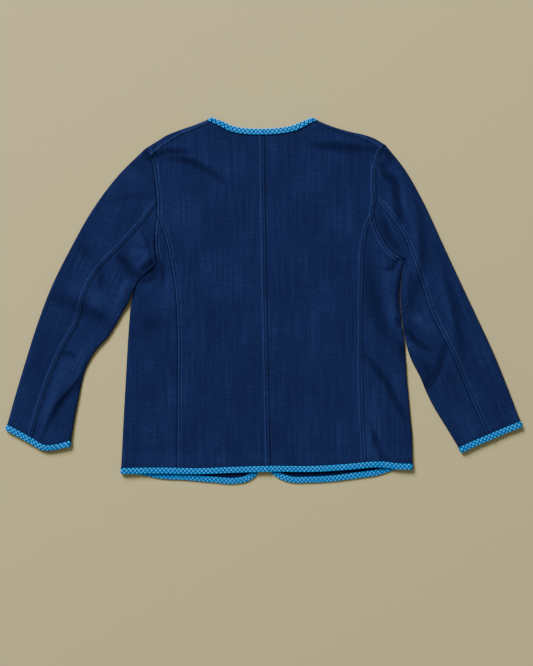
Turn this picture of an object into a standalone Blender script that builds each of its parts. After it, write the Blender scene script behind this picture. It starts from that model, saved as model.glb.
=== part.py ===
"""A sashiko jacket laid flat with its back up, its neck towards +Y and its sleeves spread.

The tables are in millimetres in the part's own frame: X to the right as the jacket is seen, Y
towards the neck, Z up, with the origin under the middle of the whole outline. Left and right are
the sides as seen from above. Every cut piece is a cloth wall of its own. The front panels lie
underneath and come up over the shoulder fold to the shoulder seam, the side panels and both sleeve
panels wrap round their folds, and the back lies on top.
"""

from typing import NamedTuple

import bmesh
import bpy
import numpy as np

MM = 0.001

# Cloth and binding
CLOTH = 1.6
SEAM_GAP = 0.3
BINDING = 0.8
BINDING_CLEAR = 0.3
BAND = 12.0
LIP = BINDING + BINDING_CLEAR
LEG_SHARE = 0.96
# The round of a folded binding, as shares of its height and of its reach past the cloth's edge
ROUND_LEVEL = 0.62
ROUND_REACH = 0.72
WELD = 0.02

# How the layers lie
LOW = CLOTH / 2
LOW_RISE = LIP + 0.1
LAYER = 5.2
HEM_RISE = 2.0
FOLD_RISE = 0.8
FRONT_EDGE_RISE = 0.8
NECK_POINT_RISE = 2.2
CUFF_RISE = 2.2
FOLD_RADIUS = 2.8
FOLD_INSET = FOLD_RADIUS + CLOTH / 2
FOLD_REACH = 34.0
EDGE_REACH = 42.0
CUFF_FLAT = 32.0
WRAP_START = 2.0
APEX = 4.0
SIDE_WRAP = 30.0
SLEEVE_WRAP = 36.0
WRAP_GROWTH = 0.3

# Long soft waves of the laid cloth: height, wave length along X and along Y, phase
WAVES = ((0.35, 310.0, 420.0, 0.6), (0.3, 190.0, -260.0, 2.1), (0.2, -140.0, 170.0, 4.0))

# Cells along each stretch of a seam or fold
SHOULDER_CELLS = 5
NECK_CELLS = 6
ARMHOLE_CELLS = 4
NOTCH_CELLS = 1
UNDERARM_CELLS = 5
SIDE_CELLS = 13
SLEEVE_CELLS = 16
LOW_ARMHOLE_CELLS = 6
ACROSS_SIDE = 5
ACROSS_UNDER_SLEEVE = 3
ACROSS_WRAP = 2
ACROSS_LOW_SLEEVE = 3
ROUND_CELLS = 5


class Finish(NamedTuple):
    """A plain colour and roughness for the solids."""

    colour: tuple
    roughness: float


NAVY = Finish((0.0085, 0.022, 0.070, 1.0), 0.85)
SKY = Finish((0.020, 0.185, 0.455, 1.0), 0.8)


class Outline(NamedTuple):
    """One side's seams and folds, each a short run of points from its upper end to its lower end."""

    hand: int
    shoulder_fold: tuple
    shoulder_seam: tuple
    armhole: tuple
    princess: tuple
    side_fold: tuple
    outer_fold: tuple
    elbow_seam: tuple
    inner_fold: tuple
    cuff: tuple
    front_edge: tuple
    elbow_start: float
    princess_start: float
    elbow_at_underarm: float
    princess_at_underarm: float


class Crease(NamedTuple):
    """A soft ridge or, with a negative height, a trough along a short line."""

    line: tuple
    width: float
    height: float


LEFT = Outline(
    hand=1,
    shoulder_fold=((-228, 291), (-207, 304), (-188, 316), (-161, 327), (-132, 337), (-97, 351)),
    shoulder_seam=((-217, 274), (-190, 297), (-159, 316), (-131, 327.5), (-104, 340), (-91, 347)),
    armhole=((-228, 291), (-217, 274), (-208, 231), (-204, 185), (-204, 166), (-208, 126),
             (-207, 95), (-203, 74)),
    princess=((-204, 166), (-190, 128), (-178, 76), (-169, 20), (-166, -26), (-165, -191), (-165, -332)),
    side_fold=((-203, 74), (-218, 59), (-235, 41.5), (-249.5, 17), (-255, -10), (-258, -40),
               (-260, -68), (-264, -137), (-267, -191), (-270, -245), (-274, -332)),
    outer_fold=((-228, 291), (-280, 239), (-326, 178), (-370, 101), (-410, 20), (-437, -53),
                (-458, -120), (-478, -187), (-495, -249)),
    elbow_seam=((-204, 185), (-236, 145), (-274, 103), (-312, 64), (-342, 14), (-355, -39),
                (-386, -95), (-415, -164), (-448, -274)),
    inner_fold=((-203, 74), (-219.5, 61), (-237, 43.5), (-251.5, 18.5), (-262, -7), (-278, -37),
                (-297, -68), (-324, -99), (-341, -130), (-353, -176), (-362, -222), (-371.5, -281)),
    cuff=((-495, -249), (-472, -261), (-448, -274), (-420, -288), (-397, -286.5), (-371.5, -281)),
    front_edge=((-97, 351), (-95, 330), (-88, 308), (-74, 287), (-53, 270), (-30, 257), (-11, 240),
                (-1.2, 216), (-0.8, 208), (-0.8, 202), (-0.8, -100), (-0.8, -283), (-0.8, -291),
                (-4.5, -316), (-14, -335), (-30, -346.5), (-54, -351.5), (-98, -349), (-157, -344),
                (-197, -342), (-242, -335), (-274, -332)),
    elbow_start=0.475,
    princess_start=0.565,
    elbow_at_underarm=0.215,
    princess_at_underarm=0.19,
)

RIGHT = Outline(
    hand=-1,
    shoulder_fold=((234, 298), (214, 310), (196, 317), (169, 323), (131, 334), (91, 350.5)),
    shoulder_seam=((227, 287), (205, 302), (179, 313), (146, 322.5), (104, 339), (85, 347)),
    armhole=((234, 298), (227, 287), (217, 260), (213.5, 222), (215, 195), (211, 165), (217, 139),
             (229, 114), (245, 93.5), (269, 77)),
    princess=((211, 165), (199.5, 139), (192, 97), (190, 49), (189, -26), (190, -191), (196, -321)),
    side_fold=((269, 77), (263.5, 50), (260.5, 16), (263.5, -34), (270, -82), (272.5, -114),
               (274, -145), (277, -176), (281, -222), (284, -252), (285, -324)),
    outer_fold=((234, 298), (269, 254), (304, 193), (340, 116), (375, 40), (408, -30), (440, -99),
                (468, -168), (496, -242)),
    elbow_seam=((215, 195), (242, 162), (266, 128), (286, 80), (303, 34), (323, -26), (361, -101),
                (388, -166), (433, -268)),
    inner_fold=((269, 77), (265.5, 50), (262.5, 16), (265.5, -34), (273.5, -82), (283, -114),
                (299, -145), (312, -176), (327, -206), (346, -237), (365, -268), (379, -292)),
    cuff=((496, -242), (463, -255), (433, -268), (406, -279.5), (379, -292)),
    front_edge=((91, 350.5), (90, 330), (84, 308), (72, 287), (52, 270), (30, 257), (11, 240),
                (1.2, 216), (0.8, 208), (0.8, 202), (0.8, -100), (0.8, -281), (0.8, -289),
                (5, -314), (14, -330), (28, -341), (52, -349), (85, -349.5), (135, -347),
                (173, -342), (223, -335), (262, -327), (285, -324)),
    elbow_start=0.43,
    princess_start=0.55,
    elbow_at_underarm=0.245,
    princess_at_underarm=0.18,
)

NECK = ((-91, 347), (-77, 342.5), (-63, 336), (-42, 331.5), (-20, 329.7), (0, 329.5), (21, 330.5),
        (42, 333), (62, 338), (74, 343), (85, 347))
CENTRE_BACK = ((0, 329.5), (2, 193), (5, 1), (9, -191), (12, -328))
HEM = ((-274, -332), (-186, -331), (-119, -332), (-60, -330), (12, -328), (106, -327), (164, -322.5),
       (217, -318), (233, -319), (252, -322), (285, -324))

# Creases of the back and of both sleeves, as one layer
CREASES = (
    Crease(((-214, 266), (-165, 268), (-122, 251), (-80, 231)), 13, -1.3),
    Crease(((-205, 284), (-160, 285), (-112, 268)), 13, 1.6),
    Crease(((206, 268), (165, 284), (118, 295)), 12, -1.6),
    Crease(((208, 284), (165, 302), (125, 310)), 11, 1.4),
    Crease(((-231, 140), (-217, 104)), 12, 2.6),
    Crease(((-207, 120), (-196, 60), (-193, 18)), 10, -1.6),
    Crease(((-181, 60), (-184, -20), (-190, -90)), 15, 1.5),
    Crease(((-395, 30), (-362, -9)), 14, -1.4),
    Crease(((-330, 8), (-305, -30)), 13, 2.4),
    Crease(((-312, 78), (-300, 55)), 12, -1.3),
    Crease(((-337, -112), (-372, -162), (-410, -239)), 12, -1.9),
    Crease(((-360, -110), (-395, -165), (-428, -235)), 13, 2.2),
    Crease(((250, 262), (266, 203), (278, 135), (287, 68), (294, 0)), 12, -1.8),
    Crease(((270, 232), (292, 165), (308, 95), (316, 30)), 15, 3.2),
    Crease(((222, 196), (252, 150), (268, 112)), 10, 2.4),
    Crease(((232, 222), (248, 200)), 10, 1.8),
    Crease(((222, 158), (236, 124)), 9, -1.6),
    Crease(((280, -44), (312, -86)), 13, -1.6),
    Crease(((292, -28), (330, -74)), 13, 2.8),
    Crease(((313, -112), (326, -156)), 12, 2.2),
    Crease(((216, 24), (233, -60)), 15, -1.3),
    Crease(((238, 20), (250, -60), (252, -130)), 13, 1.8),
    Crease(((212, -190), (219, -260), (222, -318)), 20, 3.2),
    Crease(((240, -200), (246, -270), (246, -322)), 11, -0.9),
)
# The rolls of sleeve cloth that stand up beside the body under each arm
BULGES = (
    Crease(((-214, 86), (-238, 66), (-262, 28), (-276, -8)), 13, 7.0),
    Crease(((283, 66), (276, 16), (280, -40)), 13, 6.0),
)
# Stretches of a front edge, from the neck point to the middle of its lower corner and on to the side
FRONT_EDGE_KNOTS = ((0, 0.06, 0.26, 0.3, 0.42, 0.84, 1.0), (0, 0.06, 0.17, 0.22, 0.42, 0.955, 1.0))
FRONT_HEM_KNOTS = ((0, 0.3, 0.6, 1.0), (0, 0.045, 0.3, 1.0))
# The middle of that corner: its share of the way out to the side, and its level
FRONT_CORNER_SHARE = 0.06
FRONT_CORNER_LEVEL = -337.0


class Curve:
    """A smooth line through a few points, read by its share of the whole length."""

    STEPS = 1200

    def __init__(self, points):
        points = np.array(points, float)
        chord = np.append(0, np.cumsum(np.linalg.norm(np.diff(points, axis=0), axis=1)))
        slope = np.gradient(points, chord, axis=0)
        where = np.linspace(0, chord[-1], self.STEPS)
        span = np.clip(np.searchsorted(chord, where, side="right") - 1, 0, len(points) - 2)
        size = (chord[span + 1] - chord[span])[:, None]
        s = (where - chord[span])[:, None] / size
        self.points = (
            (2 * s**3 - 3 * s**2 + 1) * points[span]
            + (s**3 - 2 * s**2 + s) * size * slope[span]
            + (3 * s**2 - 2 * s**3) * points[span + 1]
            + (s**3 - s**2) * size * slope[span + 1]
        )
        run = np.append(0, np.cumsum(np.linalg.norm(np.diff(self.points, axis=0), axis=1)))
        self.length = run[-1]
        self.share = run / run[-1]
        along = np.gradient(self.points, axis=0)
        self.along = along / np.linalg.norm(along, axis=1)[:, None]

    def at(self, share):
        return np.stack([np.interp(share, self.share, self.points[:, k]) for k in (0, 1)], axis=-1)

    def beside(self, share, distance):
        """Points moved by a distance to the left of the way that the curve runs."""
        x, y = (np.interp(share, self.share, self.along[:, k]) for k in (0, 1))
        return self.at(share) + np.stack([-y, x], axis=-1) * np.reshape(distance, (-1, 1))

    def back(self, distance):
        """The share at this distance before the end."""
        return 1 - distance / self.length

    def nearest(self, point):
        return self.share[np.argmin(np.linalg.norm(self.points - point, axis=1))]

    def distance(self, x, y):
        """The distance from each place to the curve."""
        line = self.points[:: self.STEPS // 150]
        gaps = (x[..., None] - line[:, 0]) ** 2 + (y[..., None] - line[:, 1]) ** 2
        return np.sqrt(gaps.min(axis=-1))


def smooth(value):
    """0 below 0, 1 above 1, and a soft step between."""
    value = np.clip(value, 0, 1)
    return value * value * (3 - 2 * value)


def near(curves, x, y, full, reach):
    """1 within full of any of the curves, falling to 0 at reach."""
    gap = np.min([curve.distance(x, y) for curve in curves], axis=0)
    return smooth((reach - gap) / (reach - full))


def crease_height(creases, x, y):
    """The sum of soft ridges, each fading out towards both ends of its line."""
    height = np.zeros(np.shape(x))
    for crease in creases:
        line = Curve(crease.line)
        path = line.points[:: Curve.STEPS // 60]
        fade = np.sqrt(np.sin(np.pi * np.linspace(0.03, 0.97, len(path))))
        gaps = (x[..., None] - path[:, 0]) ** 2 + (y[..., None] - path[:, 1]) ** 2
        first = gaps.argmin(axis=-1)
        height += crease.height * fade[first] * np.exp(-gaps.min(axis=-1) / crease.width**2)
    return height


def pieced(*stretches):
    """Shares from runs of (cells, end share), starting at 0."""
    shares, start = [0.0], 0.0
    for cells, end in stretches:
        shares += list(np.linspace(start, end, cells + 1)[1:])
        start = end
    return np.array(shares)


def fitted(points, start, end):
    """The same line, moved so that its ends meet two given points."""
    s = np.linspace(0, 1, len(points))[:, None]
    return points + (1 - s) * (start - points[0]) + s * (end - points[-1])


def patch(top, bottom, left, right):
    """Coons patch between four boundary lines: rows run from top to bottom."""
    top, bottom = fitted(top, left[0], right[0]), fitted(bottom, left[-1], right[-1])
    u = np.linspace(0, 1, len(top))[None, :, None]
    v = np.linspace(0, 1, len(left))[:, None, None]
    corners = (
        (1 - u) * (1 - v) * left[0] + u * (1 - v) * right[0] + (1 - u) * v * left[-1] + u * v * right[-1]
    )
    between = (1 - v) * top[None] + v * bottom[None]
    return between + (1 - u) * left[:, None] + u * right[:, None] - corners


def straight(start, end, cells):
    """Rows of points in straight lines from one boundary to another."""
    share = np.linspace(0, 1, cells + 1)[None, :, None]
    return (1 - share) * start[:, None] + share * end[:, None]


class Half:
    """One side of the jacket: its seams and folds sampled once, so that neighbours share them."""

    def __init__(self, outline):
        self.outline = outline
        self.hand = outline.hand
        line = {name: Curve(value) for name, value in outline._asdict().items() if isinstance(value, tuple)}
        self.line = line
        arm = line["armhole"]
        self.fold_start = FOLD_INSET / arm.length
        seam_end = arm.nearest(outline.shoulder_seam[0])
        self.arm_shares = pieced((NOTCH_CELLS, seam_end), (ARMHOLE_CELLS, outline.elbow_start),
                                 (NOTCH_CELLS, outline.princess_start), (UNDERARM_CELLS, 1.0))
        self.arm_shares[0] = self.fold_start
        self.arm = arm.at(self.arm_shares)
        self.elbow_index = NOTCH_CELLS + ARMHOLE_CELLS
        self.princess_index = self.elbow_index + NOTCH_CELLS
        self.low_arm = arm.at(np.linspace(self.fold_start, 1, LOW_ARMHOLE_CELLS + 1))
        self.shoulder_shares = lambda curve: pieced(
            (SHOULDER_CELLS, curve.back(LIP + BAND)), (1, curve.back(LIP)))
        self.princess = self.bound_end("princess", UNDERARM_CELLS, outline.princess_at_underarm, SIDE_CELLS)
        self.elbow = self.bound_end("elbow_seam", NOTCH_CELLS + UNDERARM_CELLS,
                                    outline.elbow_at_underarm, SLEEVE_CELLS)

    def apex_arm(self, index):
        """The armhole from a seam's start to the underarm, begun a little way along it."""
        arm = self.arm[index:].copy()
        arm[0] += APEX * (arm[1] - arm[0]) / np.linalg.norm(arm[1] - arm[0])
        return arm

    def bound_end(self, name, first, middle, rest):
        """A seam down to a bound edge, whose last cell is the band under the binding."""
        curve = self.line[name]
        return curve.at(pieced((first, middle), (rest, curve.back(LIP + BAND)), (1, curve.back(LIP))))

    def fold(self, name, cells, inward):
        """A fold's own line and the line where its round begins, down to a bound edge."""
        curve = self.line[name]
        shares = pieced((cells, curve.back(LIP + BAND)), (1, curve.back(LIP)))
        return curve.beside(shares, inward * CLOTH / 2), curve.beside(shares, inward * FOLD_INSET)

    def wrap_line(self, name, cells, inward, width):
        """The hidden seam, which leaves the fold at the underarm and soon runs beside it."""
        curve = self.line[name]
        shares = pieced((cells, curve.back(LIP + BAND)), (1, curve.back(LIP)))
        growth = FOLD_INSET + WRAP_START + (width - WRAP_START) * smooth(shares / WRAP_GROWTH)
        return curve.beside(shares, inward * growth)


HALVES = {"left": Half(LEFT), "right": Half(RIGHT)}
NECK_LINE, CENTRE_LINE, HEM_LINE = Curve(NECK), Curve(CENTRE_BACK), Curve(HEM)


def lines_of(*names):
    return [half.line[name] for half in HALVES.values() for name in names]


def low_height(x, y):
    """Mid height of the layer on the ground: it rises where a binding runs under it."""
    edge = near(lines_of("front_edge"), x, y, BAND + LIP + 1, EDGE_REACH)
    cuff = near(lines_of("cuff"), x, y, CUFF_FLAT, CUFF_FLAT + EDGE_REACH)
    return LOW + LOW_RISE * np.maximum(edge, cuff)


def top_height(x, y, creases=CREASES):
    """Mid height of the layer on top: fuller at folds, hem and cuffs, with its creases."""
    height = LAYER + FOLD_RISE * near(
        lines_of("shoulder_fold", "side_fold", "outer_fold", "inner_fold"), x, y, FOLD_INSET, FOLD_REACH)
    height += HEM_RISE * near([HEM_LINE], x, y, BAND + LIP + 1, EDGE_REACH)
    height += FRONT_EDGE_RISE * near(lines_of("front_edge"), x, y, BAND + LIP + 5, EDGE_REACH + 10)
    height += CUFF_RISE * near(lines_of("cuff"), x, y, BAND + LIP + 1, EDGE_REACH)
    for half in HALVES.values():
        neck_x, neck_y = half.outline.shoulder_fold[-1]
        gap = np.hypot(x - neck_x, y - neck_y)
        height += NECK_POINT_RISE * smooth((EDGE_REACH + BAND - gap) / EDGE_REACH)
    calm = 1 - near([HEM_LINE, *lines_of("cuff", "shoulder_fold")], x, y, BAND, EDGE_REACH)
    for size, along_x, along_y, phase in WAVES:
        height += calm * size * np.sin(2 * np.pi * (x / along_x + y / along_y) + phase)
    return height + crease_height(creases, x, y)


def sleeve_height(x, y):
    return top_height(x, y, CREASES + BULGES)


def raised(plan, height):
    """Plan points with their height as a third coordinate."""
    return np.concatenate([plan, height(plan[..., 0], plan[..., 1])[..., None]], axis=-1)


def rounded(start_top, edge, start_low):
    """The round of a fold: half an ellipse from the top layer, out to the edge and under."""
    turn = np.linspace(0, np.pi, ROUND_CELLS + 1)[None, :, None]
    out = (edge - start_top[:, :2])[:, None]
    plan = start_top[:, None, :2] + out * np.sin(turn)
    middle = (start_top[:, 2] + start_low[:, 2])[:, None, None] / 2
    half = (start_top[:, 2] - start_low[:, 2])[:, None, None] / 2
    return np.concatenate([plan, middle + half * np.cos(turn)], axis=-1)


def back_panel(side):
    """Grids of half the back, from the armhole and princess seam to the centre-back seam."""
    half = HALVES[side]
    outer = np.vstack([half.arm[NOTCH_CELLS : half.princess_index], half.princess])
    centre = CENTRE_LINE.at(centre_shares())
    seam = half.line["shoulder_seam"]
    shoulder = seam.at(half.shoulder_shares(seam))
    edge, inner = neck_half(side, shoulder)
    top = np.vstack([shoulder[:-1], inner[1:]])
    centre_in = np.vstack([inner[-1], centre[1:]])
    hem = HEM_LINE.at(np.linspace(HEM_LINE.nearest(outer[-1]), HEM_LINE.nearest(centre[-1]), len(top)))
    main = patch(top, hem, outer[:-1], centre_in[:-1])
    band = fitted(hem, outer[-1], centre[-1])
    body = raised(np.concatenate([main, band[None]]), top_height)
    return body, raised(np.stack([edge, inner]), top_height)


def neck_half(side, shoulder):
    """The neck edge and the line a band inside it, from the shoulder seam to the centre."""
    centre = NECK_LINE.nearest(CENTRE_BACK[0])
    ends = (0, centre) if side == "left" else (1, centre)
    shares = np.linspace(*ends, NECK_CELLS + 1)
    edge, inner = (NECK_LINE.beside(shares, -distance) for distance in (LIP, LIP + BAND))
    edge[0], inner[0] = shoulder[-1], shoulder[-2]
    return edge, inner


def centre_shares():
    """Rows of the centre-back seam, level with the rows of the left armhole and princess seam."""
    half = HALVES["left"]
    outer = np.vstack([half.arm[NOTCH_CELLS : half.princess_index], half.princess[:-1]])
    run = np.append(0, np.cumsum(np.linalg.norm(np.diff(outer, axis=0), axis=1)))
    start = (LIP + BAND) / CENTRE_LINE.length
    shares = start + (CENTRE_LINE.back(LIP + BAND) - start) * run / run[-1]
    return np.append(shares, CENTRE_LINE.back(LIP))


def wrapped(seam, arm, names, cells, inward, width, end_line, across, height):
    """Grids of a panel that runs from a seam to a fold and wraps round it to a hidden seam.

    Above the underarm the panel is bounded by the armhole; below it, by the fold.
    """
    half, fold_name = names
    edge, start = half.fold(fold_name, cells, inward)
    hidden = half.wrap_line(fold_name, cells, inward, width)
    outer = np.vstack([arm[:-1], start])
    apex = straight(seam[:1], outer[:1], across)[0]
    bottom = end_line(seam[-2], outer[-2], across + 1)
    main = patch(apex, bottom, seam[:-1], outer[:-1])
    band = end_line(seam[-1], outer[-1], across + 1)
    top = raised(np.concatenate([main, band[None]]), height)
    start_top = top[len(arm) - 1 :, -1]
    start_low = raised(start, low_height)
    turn = rounded(start_top, edge, start_low)
    low = raised(straight(start, hidden, ACROSS_WRAP), low_height)
    return top, turn, low, hidden


def side_panel(side):
    half = HALVES[side]
    arm = half.apex_arm(half.princess_index)

    def hem(start, end, count):
        ends = (HEM_LINE.nearest(start), HEM_LINE.nearest(end))
        return fitted(HEM_LINE.at(np.linspace(*ends, count)), start, end)

    return wrapped(half.princess, arm, (half, "side_fold"), SIDE_CELLS, half.hand, SIDE_WRAP,
                   hem, ACROSS_SIDE, top_height)


def cuff_between(half, start, end, count):
    line = half.line["cuff"]
    return fitted(line.at(np.linspace(line.nearest(start), line.nearest(end), count)), start, end)


def under_sleeve(side):
    half = HALVES[side]
    arm = half.apex_arm(half.elbow_index)

    def cuff(start, end, count):
        return cuff_between(half, start, end, count)

    return wrapped(half.elbow, arm, (half, "inner_fold"), SLEEVE_CELLS, -half.hand, SLEEVE_WRAP,
                   cuff, ACROSS_UNDER_SLEEVE, sleeve_height)


def top_sleeve(side, hidden):
    """Grids of the outer sleeve panel: over the outer fold and underneath to the hidden seam."""
    half = HALVES[side]
    rows = NOTCH_CELLS + UNDERARM_CELLS + SLEEVE_CELLS
    edge, start = half.fold("outer_fold", rows, half.hand)
    start[0] = half.arm[0]
    edge[0] = half.line["armhole"].at(half.fold_start * CLOTH / 2 / FOLD_INSET)
    crown = half.arm[: half.elbow_index + 1]
    inner_cuff, band = (cuff_between(half, start[row], half.elbow[row], len(crown)) for row in (-2, -1))
    main = patch(crown, inner_cuff, start[:-1], half.elbow[:-1])
    top = raised(np.concatenate([main, band[None]]), sleeve_height)[:, ::-1]
    start_low = raised(start, low_height)
    turn = rounded(top[:, -1], edge, start_low)
    inner = np.vstack([half.low_arm[:-1], hidden])
    inner[0] += WRAP_START * (inner[1] - inner[0]) / np.linalg.norm(inner[1] - inner[0])
    low = raised(straight(start, inner, ACROSS_LOW_SLEEVE), low_height)
    return top, turn, low


def front_panel(side, hidden):
    """Grids of a front: the shoulder strip on top, its fold, the layer underneath and its band."""
    half = HALVES[side]
    fold, seam = half.line["shoulder_fold"], half.line["shoulder_seam"]
    shares = half.shoulder_shares(fold)
    edge, start = (fold.beside(shares, -half.hand * inset) for inset in (CLOTH / 2, FOLD_INSET))
    edge[0] = half.line["armhole"].at(half.fold_start * CLOTH / 2 / FOLD_INSET)
    start[0] = half.arm[0]
    seam_line = seam.at(half.shoulder_shares(seam))
    neck_way = (seam_line[-1] - fold.at(shares[-1])) / np.linalg.norm(seam_line[-1] - fold.at(shares[-1]))
    edge[-1], start[-1] = (fold.at(shares[-1]) + neck_way * inset for inset in (CLOTH / 2, FOLD_INSET))
    strip = raised(straight(seam_line, start, 1), top_height)
    turn = rounded(strip[:, -1], edge, raised(start, low_height))

    bound = half.line["front_edge"]
    corner = bound.nearest((half.outline.front_edge[-1][0] * FRONT_CORNER_SHARE, FRONT_CORNER_LEVEL))
    rows = LOW_ARMHOLE_CELLS + SIDE_CELLS
    down = corner * np.interp(np.linspace(0, 1, rows + 1), *FRONT_EDGE_KNOTS)
    end = bound.nearest(hidden[-1])
    across = corner + (end - corner) * np.interp(np.linspace(0, 1, SHOULDER_CELLS + 1), *FRONT_HEM_KNOTS)
    inward = -half.hand
    edge_down, inner_down = (bound.beside(down, inward * far) for far in (LIP, LIP + BAND))
    edge_hem, inner_hem = (bound.beside(across, inward * far) for far in (LIP, LIP + BAND))
    edge_down[0], inner_down[0] = start[-1], start[-2]
    outer = np.vstack([half.low_arm[:-1], hidden[:-1]])
    inner_hem[-1], edge_hem[-1] = hidden[-2], hidden[-1]
    main = patch(start[:-1], inner_hem[::-1], outer, inner_down)
    low = raised(main, low_height)
    rim = raised(np.stack([np.vstack([inner_down, inner_hem[1:]]), np.vstack([edge_down, edge_hem[1:]])]),
                 low_height)
    return strip, turn, low, rim


def clear_scene():
    for item in list(bpy.data.objects):
        bpy.data.objects.remove(item, do_unlink=True)


def material_of(name, finish):
    """A plain cloth material for one piece."""
    material = bpy.data.materials.new(name)
    material.use_nodes = True
    shader = next(node for node in material.node_tree.nodes if node.type == "BSDF_PRINCIPLED")
    shader.inputs["Base Color"].default_value = finish.colour
    shader.inputs["Roughness"].default_value = finish.roughness
    shader.inputs["Metallic"].default_value = 0.0
    return material


def grid_faces(rows, columns, first=0, closed=False):
    """Quads of a grid of points, with the columns joined round where it is closed."""
    faces = []
    for row in range(rows - 1):
        for column in range(columns if closed else columns - 1):
            after = (column + 1) % columns
            here, below = first + row * columns, first + (row + 1) * columns
            faces.append((here + column, below + column, below + after, here + after))
    return faces


def add_object(name, mesh, collection, finish):
    mesh.materials.append(material_of(name, finish))
    mesh.shade_smooth()
    piece = bpy.data.objects.new(name, mesh)
    collection.objects.link(piece)
    return piece


def draw_in_rim(work, distance):
    """Moves every open edge in along the cloth, so that neighbours stay apart at their seam."""
    moves = {}
    for edge in work.edges:
        if not edge.is_boundary:
            continue
        face = edge.link_faces[0]
        start, end = edge.verts
        inward = face.normal.cross(end.co - start.co).normalized()
        if inward.dot(face.calc_center_median() - start.co) < 0:
            inward.negate()
        for corner in edge.verts:
            moves.setdefault(corner, []).append(inward)
    for corner, ways in moves.items():
        way = sum(ways[1:], ways[0].copy()).normalized()
        corner.co += way * (distance / max(0.5, way.dot(ways[0])))


def cloth_wall(name, grids, collection):
    """One cut piece: its grids joined along their shared lines and given the cloth's thickness."""
    points, faces = [], []
    for grid in grids:
        faces += grid_faces(*grid.shape[:2], first=sum(len(part) for part in points))
        points.append(grid.reshape(-1, 3))
    mesh = bpy.data.meshes.new(name)
    mesh.from_pydata((np.vstack(points) * MM).tolist(), [], faces)
    work = bmesh.new()
    work.from_mesh(mesh)
    bmesh.ops.remove_doubles(work, verts=work.verts, dist=WELD * MM)
    bmesh.ops.recalc_face_normals(work, faces=work.faces)
    work.normal_update()
    draw_in_rim(work, SEAM_GAP / 2 * MM)
    work.to_mesh(mesh)
    work.free()
    piece = add_object(name, mesh, collection, NAVY)
    wall = piece.modifiers.new("Cloth thickness", "SOLIDIFY")
    wall.thickness = CLOTH * MM
    wall.offset = 0
    wall.use_even_offset = True
    return piece


def binding_profile(edge, inner, normal):
    """Sections of a folded binding round a cloth edge, from its upper leg round to its lower leg."""
    way = (inner - edge) / np.linalg.norm(inner - edge, axis=1)[:, None]
    tip = edge + (inner - edge) * LEG_SHARE
    near_face, far_face = CLOTH / 2 + BINDING_CLEAR, CLOTH / 2 + LIP
    shape = (
        (tip, 0, far_face), (edge, 0, far_face), (edge, -LIP * ROUND_REACH, far_face * ROUND_LEVEL),
        (edge, -LIP, 0), (edge, -LIP * ROUND_REACH, -far_face * ROUND_LEVEL), (edge, 0, -far_face),
        (tip, 0, -far_face),
        (tip, 0, -near_face), (edge, -BINDING_CLEAR, -near_face), (edge, -BINDING_CLEAR, near_face),
        (tip, 0, near_face),
    )
    return np.stack([base + way * along + normal * up for base, along, up in shape], axis=1)


def binding(name, edge, inner, closed, collection):
    """A bias binding folded over a cloth edge, made from the points of the cloth that it covers."""
    if closed:
        along = np.roll(edge, -1, axis=0) - np.roll(edge, 1, axis=0)
    else:
        along = np.gradient(edge, axis=0)
        trim = SEAM_GAP / 2 * along[[0, -1]] / np.linalg.norm(along[[0, -1]], axis=1)[:, None]
        edge, inner = edge.copy(), inner.copy()
        for line in (edge, inner):
            line[0] += trim[0]
            line[-1] -= trim[1]
    normal = np.cross(inner - edge, along)
    normal /= np.linalg.norm(normal, axis=1)[:, None]
    sections = binding_profile(edge, inner, normal)
    rows, columns = sections.shape[:2]
    points = sections.reshape(-1, 3)
    if closed:
        points = np.vstack([points, points[:columns]])
        rows += 1
    faces = grid_faces(rows, columns, closed=True)
    if not closed:
        faces.append(tuple(range(columns)))
        faces.append(tuple(range((rows - 1) * columns, rows * columns)))
    mesh = bpy.data.meshes.new(name)
    mesh.from_pydata((points * MM).tolist(), [], faces)
    work = bmesh.new()
    work.from_mesh(mesh)
    bmesh.ops.remove_doubles(work, verts=work.verts, dist=WELD * MM)
    bmesh.ops.recalc_face_normals(work, faces=work.faces)
    if work.calc_volume(signed=True) < 0:
        bmesh.ops.reverse_faces(work, faces=work.faces)
    work.to_mesh(mesh)
    work.free()
    return add_object(name, mesh, collection, SKY)


def joined(*runs):
    """Runs of points end to end, with the point that two runs share kept once."""
    line = runs[0]
    for run in runs[1:]:
        line = np.vstack([line, run[1:]])
    return line


def build():
    clear_scene()
    collection = bpy.data.collections.new("sashiko_jacket")
    bpy.context.scene.collection.children.link(collection)
    hem_rows, neck_rows = {}, {}
    for side in HALVES:
        back, neck = back_panel(side)
        cloth_wall(f"back_{side}", (back, neck), collection)
        top, turn, low, hidden = side_panel(side)
        cloth_wall(f"side_{side}", (top, turn, low), collection)
        strip, fold, under, rim = front_panel(side, hidden)
        cloth_wall(f"front_{side}", (strip, fold, under, rim), collection)
        neck_rows[side] = neck
        hem_rows[side] = [
            joined(low[row][1::-1], turn[row][::-1], top[row][::-1], back[row]) for row in (-1, -2)
        ]
        edge = joined(strip[-1], fold[-1], rim[1], low[-1][:0:-1])
        inner = joined(strip[-2], fold[-2], rim[0], low[-2][:0:-1])
        binding(f"front_binding_{side}", edge, inner, False, collection)

        inner_top, inner_turn, inner_low, inner_hidden = under_sleeve(side)
        cloth_wall(f"under_sleeve_{side}", (inner_top, inner_turn, inner_low), collection)
        outer_top, outer_turn, outer_low = top_sleeve(side, inner_hidden)
        cloth_wall(f"top_sleeve_{side}", (outer_top, outer_turn, outer_low), collection)
        ring = [
            joined(outer_top[row], outer_turn[row], outer_low[row], inner_low[row][::-1],
                   inner_turn[row][::-1], inner_top[row][::-1])[:-1]
            for row in (-1, -2)
        ]
        binding(f"cuff_binding_{side}", *ring, True, collection)
    for name, rows in (("hem_binding", hem_rows), ("neck_binding", neck_rows)):
        edge, inner = (joined(left, right[::-1]) for left, right in zip(rows["left"], rows["right"]))
        binding(name, edge, inner, False, collection)


build()
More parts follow.
